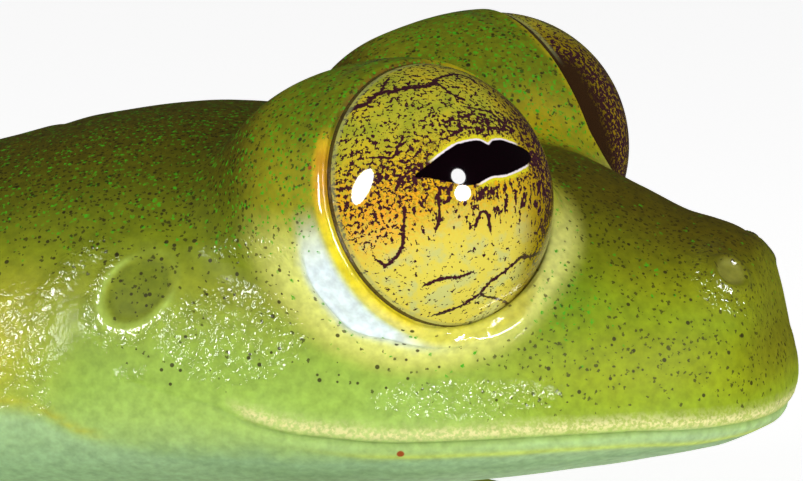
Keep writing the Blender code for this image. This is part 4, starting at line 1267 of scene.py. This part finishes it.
def addCamera():
    azimuth, elevation = math.radians(camera["azimuth"]), math.radians(camera["elevation"])
    right = Vector((math.cos(azimuth), math.sin(azimuth), 0))
    level = Vector((-math.sin(azimuth), math.cos(azimuth), 0))
    ahead = level * math.cos(elevation) - Vector((0, 0, math.sin(elevation)))
    up = right.cross(ahead)
    place = Vector(camera["aim"]) - ahead * camera["distance"]
    place += right * camera["shiftRight"] + up * camera["shiftUp"]
    lens = bpy.data.cameras.new("portraitLens")
    lens.sensor_width = 36
    lens.lens = 36 * camera["distance"] / (camera["frame"][0] * camera["pixel"])
    lens.clip_start, lens.clip_end = 0.001, 2
    piece = bpy.data.objects.new("portraitCamera", lens)
    bpy.context.scene.collection.objects.link(piece)
    turn = Matrix((right, up, -ahead)).transposed().to_4x4()
    piece.matrix_world = Matrix.Translation(eyePlace + place * millimetre) @ turn
    bpy.context.scene.camera = piece


addCamera()

# Light: a white table, an even white room, and soft flashes either side of the camera. Each flash has
# a brighter twin that shows only where it is mirrored, for the blown-out glints of wet skin
lights = {
    "flashes": (              # name, where the lamp's foot and head stand from the near eye, width, power
        ("flashLeft", (-0.586, -0.806, 0.088), (-0.394, -0.754, 0.526), 14, 1.0),
        ("flashRightLow", (0.801, -0.583, 0.138), (0.745, -0.560, 0.330), 14, 0.75),
        ("flashRightHigh", (0.738, -0.555, 0.350), (0.672, -0.513, 0.535), 12, 0.25),
    ),
    "distance": 60,
    "power": 0.012,
    "mirrored": 2.8,          # how much brighter the twins are
    "nearer": 0.97,           # their share of the distance, so that neither hides the other
    "room": 0.45,
    "mirroredRoom": 0.03,
    "tableGlow": 0.55,
}


def addLights():
    for name, foot, head, wide, strength in lights["flashes"]:
        foot, head = (Vector(end).normalized() * lights["distance"] for end in (foot, head))
        middle, tall = (foot + head) / 2, head - foot
        back = middle.normalized()
        side = tall.cross(back).normalized()
        turn = Matrix((side, back.cross(side), back)).transposed().to_4x4()
        for suffix, gain, near in (("", 1.0, 1.0), ("Mirrored", lights["mirrored"], lights["nearer"])):
            lamp = bpy.data.lights.new(name + suffix, "AREA")
            lamp.shape = "ELLIPSE"
            lamp.size, lamp.size_y = wide * millimetre, tall.length * millimetre
            lamp.energy = strength * lights["power"] * gain
            piece = bpy.data.objects.new(name + suffix, lamp)
            bpy.context.scene.collection.objects.link(piece)
            place = eyePlace + (Vector((0, -2.2, 0)) + middle * near) * millimetre
            piece.matrix_world = Matrix.Translation(place) @ turn
            piece.visible_camera = False
            piece.visible_diffuse = not suffix
            piece.visible_glossy = bool(suffix)


def addRoom():    # white where the camera looks past the table, softer as a light and dim in reflections
    world = bpy.data.worlds.new("studio")
    bpy.context.scene.world = world
    world.use_nodes = True
    tree = world.node_tree
    straight = addNode(tree, "LightPath", {}, "Is Camera Ray")
    mirrored = straight.node.outputs["Is Glossy Ray"]
    strength = addNode(
        tree, "MapRange", {"Value": mirrored, "To Min": lights["room"], "To Max": lights["mirroredRoom"]}
    )
    strength = addNode(tree, "MapRange", {"Value": straight, "To Min": strength, "To Max": 1.0})
    background = tree.nodes["Background"]
    background.inputs["Color"].default_value = (1, 1, 1, 1)
    tree.links.new(strength, background.inputs["Strength"])


def addTable():    # white acrylic, lit a little from within as a product photographer's table is
    bpy.ops.mesh.primitive_plane_add(size=0.6)
    table = named("table")
    made, tree, shader = newMaterial("litWhiteAcrylic")
    shader.inputs["Base Color"].default_value = hexColour("#f2f2f2")
    shader.inputs["Roughness"].default_value = 0.7
    shader.inputs["Emission Color"].default_value = (1, 1, 1, 1)
    shader.inputs["Emission Strength"].default_value = lights["tableGlow"]
    table.data.materials.append(made)
    table.visible_glossy = False


addLights()
addRoom()
addTable()
bpy.context.scene.view_settings.view_transform = "Standard"
